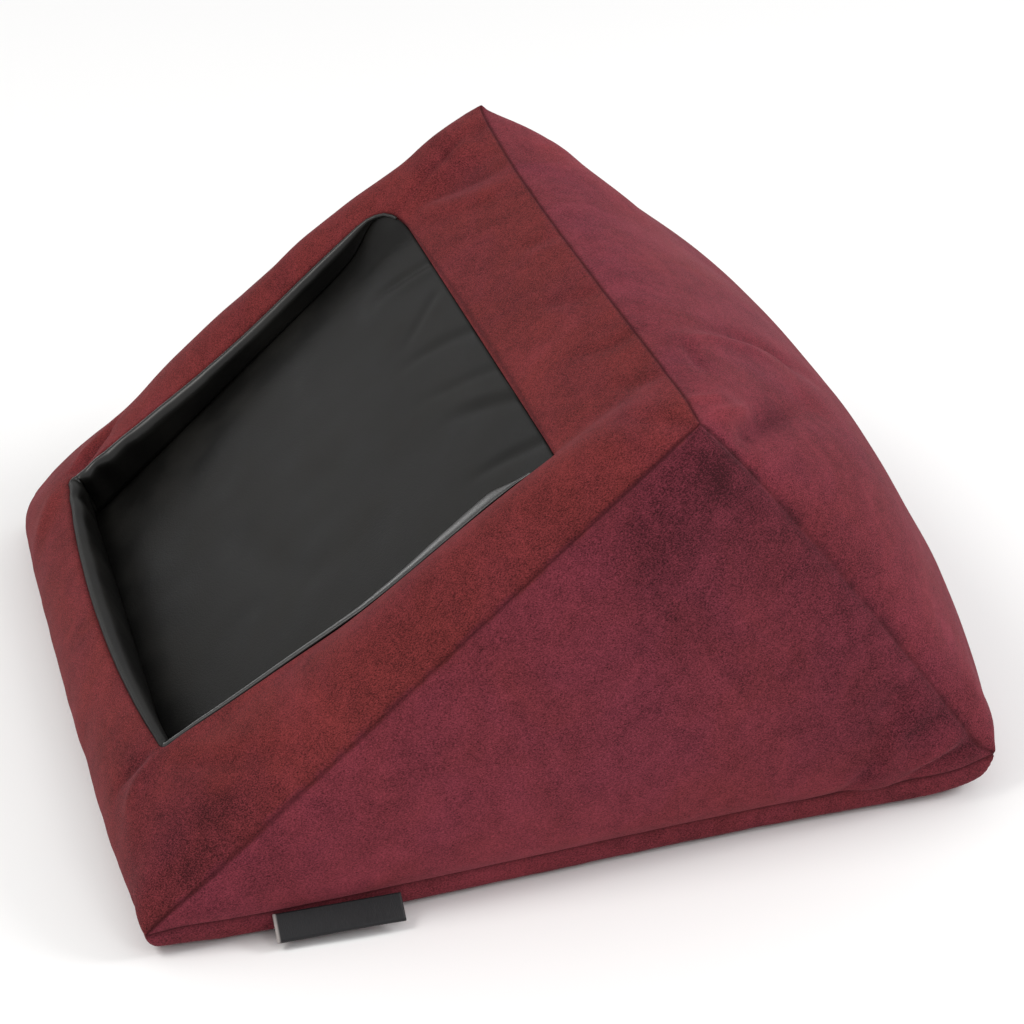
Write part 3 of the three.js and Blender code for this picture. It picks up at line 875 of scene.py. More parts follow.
def ripple(points, size, seed, octaves=2):
    """Soft noise from about -1 to 1 whose lumps are so many millimetres across."""
    shift = Vector((seed * 17.3, seed * 5.1, seed * 9.7))
    return np.array([
        noise.fractal(Vector(point) / size + shift, 1.0, 2.0, octaves) for point in points
    ])


# Sewing: the groove of each seam and the puckers beside it, the widths of the painted shade along the seams
# and at the recess's rim, and the lumps of the filling
SEAM_DEPTH = 0.9
SEAM_WIDTH = 0.75
SEAM_SHADE_WIDTH = 0.85
RIM_SHADE_WIDTH = 1.4
PUCKER = 0.5
PUCKER_REACH = 8.0
PUCKER_SIZE = 17
GATHER_REACH = 45.0
LUMPS = 0.3
LUMP_SIZE = 46
SEAMS_APART = 90.0

# Creases and small ridges of the velvet: places that each runs through, rise and width
CREASES = [
    ([(-146, 222, 194), (-137, 210, 191), (-130, 199, 185), (-125, 187, 176), (-120, 176, 165)], -1.7, 1.7),
    ([(-132, 212, 190), (-126, 202, 184), (-121, 189, 175), (-117, 178, 165)], 1.1, 4),
    ([(-142, 224, 194), (-137, 218, 192), (-131, 212, 190)], -1.0, 2.5),
    ([(-118, 179, 166), (-98, 195, 175), (-82, 218, 188)], 1.3, 5),
    ([(-119, 185, 171), (-107, 201, 179), (-98, 220, 189)], -1.0, 4),
    ([(176, 17, 37), (178, 19, 35), (180, 21, 33)], -0.8, 1.8),
    ([(179, 25, 39), (180, 27, 36), (182, 28, 34)], -0.8, 1.8),
    ([(174, 53, 66), (176, 56, 65), (178, 57, 62)], -0.7, 2),
    ([(116, 16, 53), (117, 8, 47), (114, 1, 37)], -1.6, 2.6),
    ([(122, 17, 54), (127, 8, 46), (136, 2, 37)], 1.0, 3.5),
    ([(125, 19, 56), (143, 30, 62), (155, 43, 69), (168, 63, 78), (175, 75, 80)], -1.3, 4),
    ([(128, 26, 60), (148, 43, 70), (162, 60, 79), (171, 73, 83)], 0.8, 5),
    ([(-124, 19, 53), (-129, 23, 56), (-136, 28, 59), (-142, 35, 63), (-150, 46, 69)], -3.6, 3.2),
    ([(-127, 17, 54), (-135, 23, 56), (-144, 30, 60)], 1.4, 4),
    ([(-122, 10, 50), (-114, 5, 46), (-106, 0, 41), (-97, -3, 36)], 1.4, 5),
    ([(165, -1, 19), (168, -1, 14)], -0.8, 2),
    ([(92, 245, 190), (84, 261, 182), (79, 275, 173), (76, 285, 167)], 1.5, 4),
    ([(80, 254, 185), (65, 280, 170), (65, 293, 161), (70, 301, 154)], -1.5, 4.5),
    ([(94, 244, 190), (109, 243, 190), (124, 243, 190)], -1.3, 2.2),
    ([(168, 242, 179), (155, 252, 177), (129, 271, 168), (104, 291, 158)], -1.8, 4.5),
    ([(166, 231, 191), (157, 240, 188), (147, 250, 183), (138, 258, 178)], 1.5, 3),
    ([(152, 226, 194), (149, 232, 192), (146, 239, 190), (139, 248, 186)], 1.1, 2.2),
    ([(168, 240, 181), (156, 251, 178), (142, 262, 174), (126, 274, 167)], -1.5, 5),
    ([(170, 286, 13), (173, 292, 20), (175, 299, 28), (176, 302, 37)], -2.2, 4.2),
    ([(171, 268, 15), (173, 286, 19), (174, 297, 26), (176, 304, 34), (176, 308, 46)], 1.6, 5),
    ([(170, 296, 13), (171, 310, 15), (173, 320, 23), (173, 328, 28), (172, 338, 36)], 1.9, 4),
    ([(171, 308, 14), (172, 317, 18), (172, 328, 22), (170, 341, 28)], -2.2, 4),
    ([(175, 325, 46), (176, 318, 41), (175, 310, 34)], -1.0, 5),
    ([(-150, 244, 188), (-112, 254, 184), (-84, 266, 178), (-50, 280, 169)], 2.4, 18),
    ([(-142, 198, 187), (-133, 200, 186), (-124, 203, 184)], -1.2, 4),
    ([(-123, 179, 166), (-119, 174, 163)], -1.6, 1.8),
    ([(-18, 226, 191), (-21, 218, 187), (-30, 208, 181)], -0.7, 4),
    ([(44, 226, 192), (34, 213, 185), (20, 202, 177)], -0.8, 4.5),
    ([(86, 229, 192), (84, 216, 186), (72, 203, 178)], -0.8, 4),
    ([(128, 231, 192), (121, 218, 187), (107, 207, 181)], -0.9, 4),
    ([(166, 224, 190), (152, 212, 186), (140, 200, 180)], -1.3, 5),
    ([(168, 216, 186), (158, 202, 180), (150, 190, 172)], 0.9, 5),
    ([(-160, 205, 184), (-154, 190, 178), (-150, 170, 168)], -0.8, 6),
    ([(-156, 130, 140), (-152, 112, 128), (-150, 95, 116)], -0.7, 7),
]
CREASE_STEPS = 6
CREASE_SPAN = 90

# Corners that are pinched or stand off the surface: middle, reach and move
PINCHES = [
    ((170, 353, 14), 9, (1.0, 2.5, 4.0)),
    ((170, 353, -4), 20, (0, 0.5, 4.5)),
    ((-170, 353, 14), 9, (-1.0, 2.0, 3.5)),
    ((-170, 353, -4), 20, (0, 0.5, 4.0)),
    ((181, -1, 12), 12, (0.5, -0.5, -3.0)),
    ((178, 0, 21), 12, (0, -2.5, 0)),
    ((181, 0, -2), 28, (0, 0, 2.6)),
    ((-181, -1, 12), 12, (-0.5, -1.5, -2.5)),
]

# Where the velvet's colour is lighter or darker than around it, partly as its pile lies and partly as
# painted shade in the folds' troughs and painted highlights on their ridges: place, reach and share
PILE_AND_PAINTED_LIGHT = [
    ((174, 37, 54), 12, -0.2),
    ((160, 22, 46), 40, -0.07),
    ((60, -2, 40), 50, -0.06),
    ((172, 12, 34), 30, -0.2),
    ((140, 8, 42), 30, -0.14),
    ((117, 9, 47), 12, -0.2),
    ((182, 40, 28), 26, -0.05),
    ((186, 150, 40), 60, 0.1),
    ((187, 240, 30), 40, 0.06),
    ((-124, 201, 183), 15, -0.05),
    ((-105, 205, 181), 14, -0.05),
    ((-141, 215, 191), 11, -0.06),
    ((-152, 190, 178), 20, 0.1),
    ((132, 270, 169), 14, -0.05),
    ((152, 237, 190), 9, 0.1),
    ((92, 252, 187), 10, 0.1),
    ((140, 205, 182), 16, -0.14),
    ((108, 198, 176), 18, -0.12),
    ((20, 208, 180), 20, -0.08),
]

# The same on the right side alone, with painted shade in the troughs and painted highlights on the ridges
# of its corner folds, and how far painted shade darkens it along its seam with the back and painted light
# lightens it towards the base
SIDE_PILE_AND_PAINTED_LIGHT = [
    ((175, 235, 177), 12, -0.3),
    ((178, 228, 172), 22, -0.18),
    ((183, 208, 152), 26, -0.18),
    ((178, 248, 151), 24, -0.1),
    ((185, 222, 112), 30, -0.08),
    ((174, 200, 168), 14, -0.08),
    ((176, 317, 41), 11, -0.2),
    ((171, 338, 27), 9, -0.2),
    ((173, 325, 29), 5, 0.14),
    ((174, 294, 23), 7, -0.24),
    ((173, 280, 26), 14, 0.12),
]
BACK_SEAM_SHADE = (-0.2, 36.0)
BACK_SEAM_EDGE_SHADE = (-0.13, 4.0)
BASE_SEAM_LIGHT = (0.15, 20.0)
# Painted shade in each crease's trough and painted highlight on its ridge, for each millimetre of its rise
CREASE_SHADE = 0.085


def along_path(points, path, width):
    """1 on the line, fading out beside it and towards its ends."""
    total = np.zeros(len(points))
    last = len(path) - 1
    for i in range(last):
        share = (i + 0.5) / last
        tapered = min(1, 3.5 * share, 3.5 * (1 - share))
        gap = distance_to_path(points, path[i:i + 2])
        total = np.maximum(total, tapered * bell(gap, width))
    return total


def crease_rise(points):
    total = np.zeros(len(points))
    for places, rise, width in CREASES:
        path = smooth_path(places, CREASE_STEPS)
        close = distances(points, path.mean(axis=0)) < 4 * width + CREASE_SPAN
        total[close] += rise * along_path(points[close], path, width)
    return total


def pile_and_painted_light_share(points, plum):
    """How much lighter or darker the velvet is painted, by its pile and by painted light and shade. plum is
    0.9 on the back and 1 on the sides.
    """
    def spots(table):
        total = np.zeros(len(points))
        for place, reach, share in table:
            total += share * bell(distances(points, place), reach)
        return total

    on_side = np.clip((plum - 0.9) * 10, 0, 1)
    from_back = distance_to_path(points, back_edge("right", np.linspace(0, 1, 60)))
    strip = np.zeros(len(points))
    for away, (share, reach) in (
        (from_back, BACK_SEAM_SHADE),
        (from_back, BACK_SEAM_EDGE_SHADE),
        (points[:, 2] - SEAM, BASE_SEAM_LIGHT),
    ):
        strip += share * bell(away, reach)
    patches = spots(PILE_AND_PAINTED_LIGHT) + on_side * spots(SIDE_PILE_AND_PAINTED_LIGHT)
    # Painted shade along the side's seam with the back, painted light towards the base, and painted light
    # and shade of the creases
    shaded = on_side * strip + CREASE_SHADE * crease_rise(points)
    return patches * (1 + 0.5 * ripple(points, 14, 11, 3)) + shaded


def pinched(points):
    moved = points.copy()
    for middle, reach, move in PINCHES:
        moved += times(bell(distances(points, middle), reach), vec(*move))
    moved[:, 2] = np.maximum(moved[:, 2], 0)
    return moved


def filled(mesh):
    """Presses the cover's free places in and out as the filling does."""
    points = coordinates(mesh)
    out = vectors(mesh.vertex_normals)
    free = freedom(points, numbers(mesh, "lined"))
    moves = capped(filled_moves(mesh, free), MOST_MOVE)
    swelling = (moves * out).sum(axis=1)
    mean = swelling[free > 0.9].mean()
    moves -= out * (mean * free)[:, None]
    mesh.attributes.remove(mesh.attributes[UNFOLDED])
    set_coordinates(mesh, points + moves)


def sewn_rise(points, rim, gap, along, total, which):
    """How far puckers, lumps and creases lift the velvet, and how deep the seams lie in it."""
    groove = -SEAM_DEPTH * np.exp(-(gap / SEAM_WIDTH) ** 1.3)
    line = np.column_stack((along, which * SEAMS_APART, np.zeros_like(along)))
    to_end = np.minimum(along, total - along)
    gather = 0.45 + 0.9 * np.exp(-to_end / GATHER_REACH)
    near_seam = (gap / PUCKER_REACH) * np.exp(1 - gap / PUCKER_REACH)
    pucker = PUCKER * gather * near_seam * ripple(line, PUCKER_SIZE, 3)
    lump = LUMPS * ease(gap, 4, 30) * ripple(points, LUMP_SIZE, 5)
    soft = (pucker + lump + crease_rise(points)) * ease(rim, 0, 5)
    return groove + soft * (points[:, 2] > 0.5)


def velvet_cushion():
    mesh = sewn_cover("velvet_cushion")
    filled(mesh)
    piece = shown("velvet_cushion", mesh)
    mesh = subdivided(piece)
    points = coordinates(mesh)
    rim = rim_gap(points)
    seams = nearest_seam(points)
    on_velvet = 1 - np.clip(4 * numbers(mesh, "lined"), 0, 1)
    rise = sewn_rise(points, rim, *seams) * on_velvet
    finished = pinched(points + vectors(mesh.vertex_normals) * rise[:, None])
    # seam and rim mark painted shade: the velvet's colour is darkened in the seams' grooves and along the
    # recess's rim
    for name, values in (
        ("seam", bell(seams[0], SEAM_SHADE_WIDTH)),
        ("rim", bell(rim, RIM_SHADE_WIDTH)),
        # pile tone, with painted shade in fold troughs and along the side's back seam and painted
        # highlights on fold ridges and towards the base
        ("pile_painted_light", pile_and_painted_light_share(points, numbers(mesh, "plum"))),
    ):
        layer = mesh.attributes.new(name, "FLOAT", "POINT")
        layer.data.foreach_set("value", values.astype(np.float32))
    set_coordinates(mesh, to_part(finished))
    return piece


# Recess linings. Wrinkles of the floor: places as x and up the slope, rise and width
WRINKLES = [
    ([(-71, 236), (-80, 216), (-87, 192)], -0.9, 3.5),
    ([(-64, 236), (-72, 216), (-78, 198)], 0.5, 4),
    ([(72, 236), (56, 220), (38, 200)], -1.0, 4),
    ([(62, 236), (46, 220), (28, 202)], 0.5, 4.5),
    ([(111, 236), (99, 216), (90, 194)], -0.9, 3.5),
    ([(4, 236), (-12, 213), (-20, 190)], -0.9, 4),
    ([(-101, 234), (-109, 216), (-106, 200)], -0.7, 3),
    ([(42, 236), (27, 215), (10, 190)], -0.6, 3.5),
    ([(-45, 226), (-35, 211), (-26, 198)], -0.5, 3.5),
    ([(60, 120), (20, 104), (-30, 98)], -0.5, 9),
    ([(-90, 90), (-50, 70), (0, 66)], -0.5, 9),
]
LEATHER = 0.8

# At the top left the floor lining curves up to the rim: its middle, reach and rise
CORNER_LIFT = (vec(-129, 226), vec(14, 18), 8.0)


def floor_lift(flat):
    middle, reach, rise = CORNER_LIFT
    return rise * np.exp(-(((flat - middle) / reach) ** 2).sum(axis=1))


def thickened(piece, thickness, offset=-1):
    wall = piece.modifiers.new("thickness", "SOLIDIFY")
    wall.thickness = thickness * MM
    wall.offset = offset
    return piece


def leather_sheet(name, columns, rows, place, worn=0.0):
    mesh = placed(name, columns, rows, lambda u, v: to_part(place(u, v)), worn=worn)
    return shown(name, mesh)


def run_of_loop(loop, first, backwards=False):
    """One side of the recess's outline, from one corner's middle to the next, by its length."""
    fine = LEFT_CORNER + SIDE_STEPS * (first + np.linspace(0, 1, FLOOR_SAMPLES + 1))
    places = on_loop(loop, fine)
    if backwards:
        places = places[::-1]
    length = lengths_along(places)

    def at(t):
        wanted = t * length[-1]
        x = np.interp(wanted, length, places[:, 0])
        along = np.interp(wanted, length, places[:, 1])
        return np.column_stack((x, along))

    return at


def floor_lining():
    outline = FLOOR_LOOP + INWARD_LOOP * GAP
    bottom = run_of_loop(outline, 0)
    right = run_of_loop(outline, 1)
    top = run_of_loop(outline, 2, True)
    left = run_of_loop(outline, 3, True)

    def place(u, v):
        flat = patch(u, v, bottom, top, left, right)
        height = lining_height(flat[:, 1]) + floor_lift(flat)
        padded = np.column_stack((flat, np.zeros(len(flat))))
        for places, rise, width in WRINKLES:
            path = smooth_path([(*spot, 0) for spot in places], CREASE_STEPS)
            gap = distance_to_path(padded, path)
            to_end = distances(padded, path[-1]) / np.linalg.norm(path[0] - path[-1])
            height += rise * bell(gap, width) * ease(to_end, 0, 0.6)
        edge = np.minimum.reduce((u, 1 - u, v, 1 - v))
        height += 0.35 * ripple(padded, 42, 8) * ease(edge, 0, 0.08)
        return slope_point(flat[:, 0], flat[:, 1], height)

    return thickened(leather_sheet("floor_lining", 150, 124, place), LEATHER)


# Section of a wall lining: share of the wall's height, and how far the face stands off the cushion.
# In the roll at its top, the place under the rim in millimetres takes the share's place. Low walls
# have less of a roll.
WALL_SECTION = [(0.0, 1.8), (0.13, 1.8), (0.27, 2.0), (0.41, 2.3), (0.54, 2.8), (0.64, 3.4)]
WALL_ROLL = [
    (-5.6, 3.9), (-4.2, 4.0), (-3.0, 3.7), (-2.0, 3.1),
    (-1.2, 2.3), (-0.8, 1.4), (-0.9, 0.7), (-1.4, 0.1),
]
FULL_ROLL = 18.0
LEAST_ROLL = 0.12
MOST_LIFTED = 0.85
STEP_LENGTH = 14.0


def wall_lining(name, first, last, columns, seed, crumple, roll, folds=(), slant=None, worn=1.0):
    """Strip that stands on the floor lining and rolls over at the top into the velvet's seam.

    crumple, roll and slant give, by the place round the recess, how uneven and how full it is and
    how far its foot stands out. Each fold stands upright: its place, rise and width.
    """
    levels = len(WALL_SECTION) + len(WALL_ROLL)

    def place(u, v):
        position = first + (last - first) * u
        rim = on_loop(RIM_LOOP, position)
        foot = on_loop(FLOOR_LOOP, position)
        top = on_loop(RIM_HEIGHT, position)[:, 0]
        whole = np.maximum(top - lining_height(foot[:, 1]) - GAP, LEAST_WALL)
        lifted = np.minimum(floor_lift(foot) / whole, MOST_LIFTED)
        height = whole * (1 - lifted)
        row = np.rint(v * (levels - 1)).astype(int)
        rise = np.empty(len(u))
        inset = np.empty(len(u))
        tight = np.minimum(height / FULL_ROLL, 1)
        full = np.maximum(tight, LEAST_ROLL) * roll(position)
        for i, (level, off) in enumerate(WALL_SECTION + WALL_ROLL):
            here = row == i
            rolled = 1 + level * tight[here] / height[here]
            rise[here] = level if i < len(WALL_SECTION) else rolled
            inset[here] = GAP + (off - GAP) * full[here]
        soft = np.sin(np.pi * np.clip(rise, 0, 1)) ** 0.7
        for spot, swell, width in folds:
            inset += swell * bell(position - spot, width) * soft
        along = position * STEP_LENGTH
        line = np.column_stack((along, rise * height * 0.35, np.full(len(u), seed * 50.0)))
        inset = inset + crumple(position) * tight * soft * ripple(line, 13, seed)
        if slant:
            inset = inset + slant(position) * np.clip(1 - rise, 0, 1)
        return wall_point(position, lifted + (1 - lifted) * rise, inset)

    return thickened(leather_sheet(name, columns, levels - 1, place, worn), LEATHER)


# Steps that a wall stays off the middle of a corner, and over which the right one fades out
MITRE = 0.1
FADING_STEPS = 1.6


def fading(position):
    """1 along the right wall, falling to 0 where it ends at the top."""
    return 1 - ease(position, TOP_RIGHT - FADING_STEPS, TOP_RIGHT)


# Label: a ribbon folded once, its fold outwards, sewn into the seam of the base on the right
LABEL_LENGTH = 51.0
LABEL_FRONT = 49.0
LABEL_REACH = 11.3
LABEL_HALF = 0.85
LABEL_DROOP = 0.72
LABEL_WAVE = 0.7
LABEL_WAVES = 0.8
LABEL_PINCH = 0.55
RIBBON = 0.5
LABEL_ROOT = vec(181.6, 0, SEAM + 0.1)


def ribbon_label():
    bend = LABEL_REACH - LABEL_HALF
    turn = math.pi * LABEL_HALF
    path = 2 * bend + turn

    def place(u, v):
        walked = v * path
        out = np.where(walked < bend, walked, path - walked)
        height = np.where(walked < bend, -LABEL_HALF, LABEL_HALF)
        angle = (walked - bend) / LABEL_HALF
        round_fold = (walked > bend) & (walked < bend + turn)
        out = np.where(round_fold, bend + LABEL_HALF * np.sin(angle), out)
        height = np.where(round_fold, -LABEL_HALF * np.cos(angle), height)
        share = out / LABEL_REACH
        wave = LABEL_WAVE * np.sin(LABEL_WAVES * 2 * np.pi * u) * share ** 2
        height = height * (LABEL_PINCH + (1 - LABEL_PINCH) * share) + wave
        x = out * math.cos(LABEL_DROOP) + height * math.sin(LABEL_DROOP)
        z = height * math.cos(LABEL_DROOP) - out * math.sin(LABEL_DROOP)
        y = LABEL_FRONT + LABEL_LENGTH * (1 - u)
        return to_part(np.column_stack((LABEL_ROOT[0] + x, y, LABEL_ROOT[2] + z)))

    return thickened(shown("ribbon_label", placed("ribbon_label", 50, 44, place)), RIBBON, 0)


class Value:
    """A socket of a material, so that its maths reads as plain expressions."""

    def __init__(self, finish, socket):
        self.finish = finish
        self.socket = socket

    def maths(self, operation, *inputs):
        return self.finish.node("ShaderNodeMath", {"operation": operation}, dict(enumerate(inputs)))

    def __add__(self, other):
        return self.maths("ADD", self, other)

    __radd__ = __add__

    def __mul__(self, other):
        return self.maths("MULTIPLY", self, other)

    __rmul__ = __mul__

    def __sub__(self, other):
        return self.maths("SUBTRACT", self, other)

    def __rsub__(self, other):
        return self.maths("SUBTRACT", other, self)

    def least(self, other):
        return self.maths("MINIMUM", self, other)

    def most(self, other):
        return self.maths("MAXIMUM", self, other)

    def eased(self, start, end):
        """0 below start and 1 above end, with a soft step between."""
        return self.finish.node(
            "ShaderNodeMapRange", {"interpolation_type": "SMOOTHSTEP"},
            {"Value": self, "From Min": start, "From Max": end},
        )


class Finish:
    """A material of the piece, and the one way in which its nodes are made."""

    def __init__(self, name):
        self.material = bpy.data.materials.new(name)
        self.material.use_nodes = True
        self.tree = self.material.node_tree
        self.surface = self.tree.nodes["Principled BSDF"]
        self.places = self.node("ShaderNodeTexCoord", output="Object")

    def node(self, kind, settings=None, inputs=None, output=0):
        made = self.tree.nodes.new(kind)
        for key, setting in (settings or {}).items():
            setattr(made, key, setting)
        for key, value in (inputs or {}).items():
            self.feed(made.inputs[key], value)
        return Value(self, made.outputs[output])

    def feed(self, socket, value):
        if isinstance(value, Value):
            self.tree.links.new(value.socket, socket)
        elif isinstance(value, (tuple, list)) and len(value) == 3 and len(socket.default_value) == 4:
            socket.default_value = (*value, 1)
        else:
            socket.default_value = value

    def set(self, **values):
        for key, value in values.items():
            self.feed(self.surface.inputs[key.replace("_", " ")], value)

    def noise(self, scale, detail=3.0, roughness=0.55, distortion=0.0, places=None):
        """Noise whose lumps are 1 / scale metres across."""
        return self.node("ShaderNodeTexNoise", {"noise_dimensions": "3D"}, {
            "Vector": places or self.places,
            "Scale": scale,
            "Detail": detail,
            "Roughness": roughness,
            "Distortion": distortion,
        }, "Fac")

    def cells(self, scale):
        """Distance to the middle of the nearest of many cells, 1 / scale metres across."""
        inputs = {"Vector": self.places, "Scale": scale}
        return self.node("ShaderNodeTexVoronoi", {"feature": "F1"}, inputs, "Distance")

    def attribute(self, name):
        return self.node("ShaderNodeAttribute", {"attribute_name": name}, output="Fac")

    def blend(self, first, second, share, mode="MIX"):
        """Mix of two colours. A Mix node's colours are its inputs 6 and 7 and its output 2."""
        settings = {"data_type": "RGBA", "blend_type": mode}
        return self.node("ShaderNodeMix", settings, {0: share, 6: first, 7: second}, 2)

    def stretched(self, scale, turn=(0, 0, 0)):
        inputs = {"Vector": self.places, "Scale": scale, "Rotation": turn}
        return self.node("ShaderNodeMapping", inputs=inputs)

    def bump(self, height, distance):
        """height is from 0 to 1 and distance its depth in millimetres."""
        inputs = {"Height": height, "Distance": distance * MM, "Strength": 1.0}
        self.set(Normal=self.node("ShaderNodeBump", inputs=inputs))

    def on(self, piece):
        piece.data.materials.clear()
        piece.data.materials.append(self.material)


# Velvet as its pile lies on the front, and on the sides, the back and the base
WARM_RED = (0.128, 0.0196, 0.0198)
PLUM = (0.138, 0.0222, 0.0345)
# Painted shade: the colour that the velvet is darkened to in the seams' grooves and along the recess's rim
SEAM_PAINTED_SHADE = (0.03, 0.0045, 0.006)


def velvet():
    """Burgundy short-pile velvet: brushed light and dark, with fine ribs and a soft sheen; painted shade in
    its seams, along the recess's rim and in the folds' troughs, and painted highlights on the folds'
    ridges.
    """
    finish = Finish("velvet")
    clouds = finish.noise(15, 3, 0.55, 0.5)
    streaks = finish.noise(48, 4, 0.6, 1.0)
    mottles = finish.noise(150, 4, 0.65)
    hue = finish.noise(26, 3, 0.55, 0.6)
    ribs = finish.noise(1, 1, 0.5, places=finish.stretched((2400, 1250, 1900), (0.5, 0.3, 0.7)))
    grain = finish.noise(2500, 1, 0.5)
    cloudy = (clouds - 0.5) * 0.7 + (streaks - 0.5) * 0.6 + (mottles - 0.5) * 0.65
    fine = (ribs - 0.5) * 1.8 + (grain - 0.5) * 1.3
    rough = (finish.noise(430, 2, 0.6) - 0.5) * 0.25 + fine * (1.2 - finish.attribute("plum") * 0.2)
    # The pile attribute read here carries pile tone together with painted shade in fold troughs and along
    # the side's back seam, and painted highlights on fold ridges and towards the base
    shade = (1 + cloudy + rough + finish.attribute("pile_painted_light")).most(0.25)
    plum = finish.attribute("plum") * 0.72 + (hue - 0.42) * 1.1 - finish.attribute("pile_painted_light") * 0.7
    pile = finish.blend(WARM_RED, PLUM, plum.most(0).least(1))
    pile = finish.blend(pile, shade, 1.0, "MULTIPLY")
    # Painted shade in the seams' grooves and along the recess's rim
    painted_seam_shade = (finish.attribute("seam") * 0.8 + finish.attribute("rim") * 0.5).least(1)
    finish.set(
        Base_Color=finish.blend(pile, SEAM_PAINTED_SHADE, painted_seam_shade),
        Roughness=0.9,
        Sheen_Weight=0.13,
        Sheen_Roughness=0.3,
        Sheen_Tint=(0.95, 0.33, 0.4),
        Specular_IOR_Level=0.12,
    )
    finish.bump(ribs * 0.6 + grain * 0.4, 0.3)
    return finish


def leather():
    """Black imitation leather: satin, with a very fine grain, a little worn on what stands up."""
    finish = Finish("leather")
    pebbles = finish.cells(1100)
    worn = finish.attribute("worn")
    cloud = finish.noise(40, 3)
    fine = finish.noise(1500, 2)
    colour = finish.blend((0.004, 0.0038, 0.0034), (0.0085, 0.008, 0.007), cloud.eased(0.35, 0.7))
    finish.set(
        Base_Color=colour,
        Roughness=cloud * 0.24 + fine * 0.08 + 0.38 - worn * 0.14,
        Specular_IOR_Level=0.16,
        Coat_Weight=worn * 0.9,
        Coat_Roughness=0.3,
    )
    finish.bump((1 - pebbles) * 0.6 + fine * 0.4, 0.06)
    return finish


def satin():
    """Black satin ribbon: close ribs across it, and a paler cut end at the front."""
    finish = Finish("satin")
    ribs = finish.noise(1, 1, places=finish.stretched((400, 3600, 400)))
    end = finish.node("ShaderNodeSeparateXYZ", {}, {"Vector": finish.places}, "Y")
    cut = 1 - end.eased((LABEL_FRONT + SHIFT[1] + 0.3) * MM, (LABEL_FRONT + SHIFT[1] + 1.6) * MM)
    black = finish.blend((0.003, 0.003, 0.004), (0.01, 0.0095, 0.0115), ribs)
    finish.set(
        Base_Color=finish.blend(black, (0.34, 0.31, 0.3), cut),
        Roughness=0.45 + ribs * 0.12,
        Sheen_Weight=0.03,
        Specular_IOR_Level=0.3,
    )
    finish.bump(ribs, 0.12)
    return finish


cushion = velvet_cushion()
floor = floor_lining()
bottom = wall_lining(
    "bottom_lining", LEFT_CORNER + MITRE, RIGHT_CORNER - MITRE, 170, 1,
    crumple=lambda position: 0.35 + 0.9 * bell(position - LEFT_CORNER, 4),
    roll=lambda position: np.ones(len(position)),
    folds=[(6.3, 1.5, 0.2), (6.75, -1.2, 0.22), (7.4, 0.9, 0.3)],
    worn=0.1,
)
right = wall_lining(
    "right_lining", RIGHT_CORNER + MITRE, TOP_RIGHT, 130, 2,
    crumple=lambda position: 0.3 + 0.9 * bell(position - TOP_RIGHT + 3, 3),
    roll=lambda position: (0.7 + 4.2 * bell(position - TOP_RIGHT, 6)) * fading(position),
    slant=lambda position: 7.0 * bell(position - TOP_RIGHT, 4) * fading(position),
)
left = wall_lining(
    "left_lining", TOP_LEFT, FULL_LOOP + LEFT_CORNER - MITRE, 170, 3,
    crumple=lambda position: 0.5 + 1.1 * bell(position - FULL_LOOP, 4),
    roll=lambda position: 0.78 * ease(position, TOP_LEFT, TOP_LEFT + 5),
    folds=[(79.6, 1.7, 0.2), (79.2, -1.3, 0.22), (78.6, 1.0, 0.3), (77.7, -0.7, 0.4)],
    worn=0.6,
)
label = ribbon_label()

velvet().on(cushion)
black_leather = leather()
for piece in (floor, bottom, right, left):
    black_leather.on(piece)
satin().on(label)

for piece, node in (
    (cushion, "cushion"),
    (floor, "recess_floor"),
    (bottom, "recess_wall_bottom"),
    (right, "recess_wall_right"),
    (left, "recess_wall_left"),
    (label, "label"),
):
    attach(piece, "root")
    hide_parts(node)


# Soft lights: size, power, place, aim and colour
LIGHTS = {
    "key": (0.9, 19, (0.3, -1.4, 1.9), (0, 0, 0.08), (1, 0.98, 0.95)),
    "rim": (0.8, 18, (0.5, 1.7, 1.2), (0, 0.05, 0.1), (1, 1, 1)),
    "side": (0.5, 3.5, (1.5, 0.5, 1.3), (0, -0.05, 0.1), (1, 1, 1)),
    "low left": (0.35, 1.0, (-1.7, -0.75, 0.45), (0.1, 0, 0.12), (1, 1, 1)),
}
SKY_STRENGTH = 0.78
GROUND_RADIUS = 9
GROUND_DROP = 0.0004

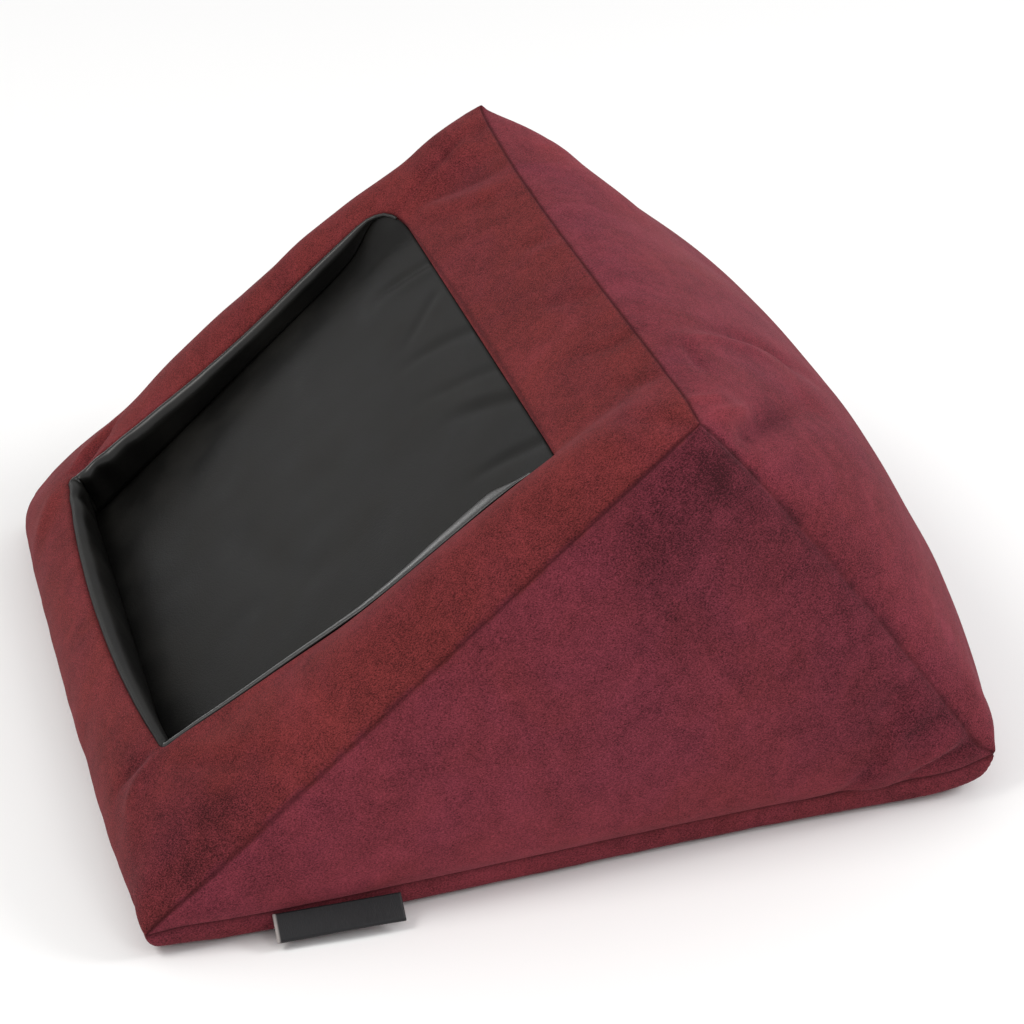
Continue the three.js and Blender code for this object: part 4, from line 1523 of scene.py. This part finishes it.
# The photo's view: focal length in pixels, image size in pixels, place and axes
FOCAL_PIXELS = 3222.63
IMAGE_PIXELS = 1024
SENSOR = 36
CAMERA_PLACE = Vector((1.19293744, -0.28023576, 0.74999666))
CAMERA_ACROSS = Vector((0.25394926, 0.96683391, -0.02723893))
CAMERA_UP = Vector((-0.4618133, 0.14594868, 0.87488711))


def soft_light(name, size, power, place, aim, colour):
    lamp = bpy.data.lights.new(name, "AREA")
    lamp.shape = "DISK"
    lamp.size = size
    lamp.energy = power
    lamp.color = colour
    holder = bpy.data.objects.new(name, lamp)
    holder.location = place
    holder.rotation_euler = (Vector(aim) - Vector(place)).to_track_quat("-Z", "Y").to_euler()
    bpy.context.scene.collection.objects.link(holder)


def pale_ground():
    ground = bmesh.new()
    bmesh.ops.create_circle(ground, cap_ends=True, segments=96, radius=GROUND_RADIUS)
    bmesh.ops.translate(ground, verts=ground.verts[:], vec=(0, 0, -GROUND_DROP))
    mesh = bpy.data.meshes.new("pale_ground")
    ground.to_mesh(mesh)
    ground.free()
    surface = bpy.data.objects.new("pale_ground", mesh)
    bpy.context.scene.collection.objects.link(surface)
    pale = Finish("pale_ground")
    pale.set(Base_Color=(0.86, 0.86, 0.86), Roughness=0.9, Specular_IOR_Level=0.1)
    pale.on(surface)


def studio():
    pale_ground()
    world = bpy.data.worlds.new("soft_sky")
    world.use_nodes = True
    sky = world.node_tree.nodes["Background"].inputs
    sky["Color"].default_value = (1, 1, 1, 1)
    sky["Strength"].default_value = SKY_STRENGTH
    bpy.context.scene.world = world
    for name, settings in LIGHTS.items():
        soft_light(name, *settings)


def photo_camera():
    camera = bpy.data.cameras.new("photo_camera")
    camera.sensor_width = SENSOR
    camera.lens = FOCAL_PIXELS * SENSOR / IMAGE_PIXELS
    holder = bpy.data.objects.new("photo_camera", camera)
    back = CAMERA_ACROSS.cross(CAMERA_UP)
    turn = Matrix((CAMERA_ACROSS, CAMERA_UP, back)).transposed().to_4x4()
    holder.matrix_world = Matrix.Translation(CAMERA_PLACE) @ turn
    bpy.context.scene.collection.objects.link(holder)
    bpy.context.scene.camera = holder


studio()
photo_camera()
bpy.context.scene.view_settings.view_transform = "Standard"
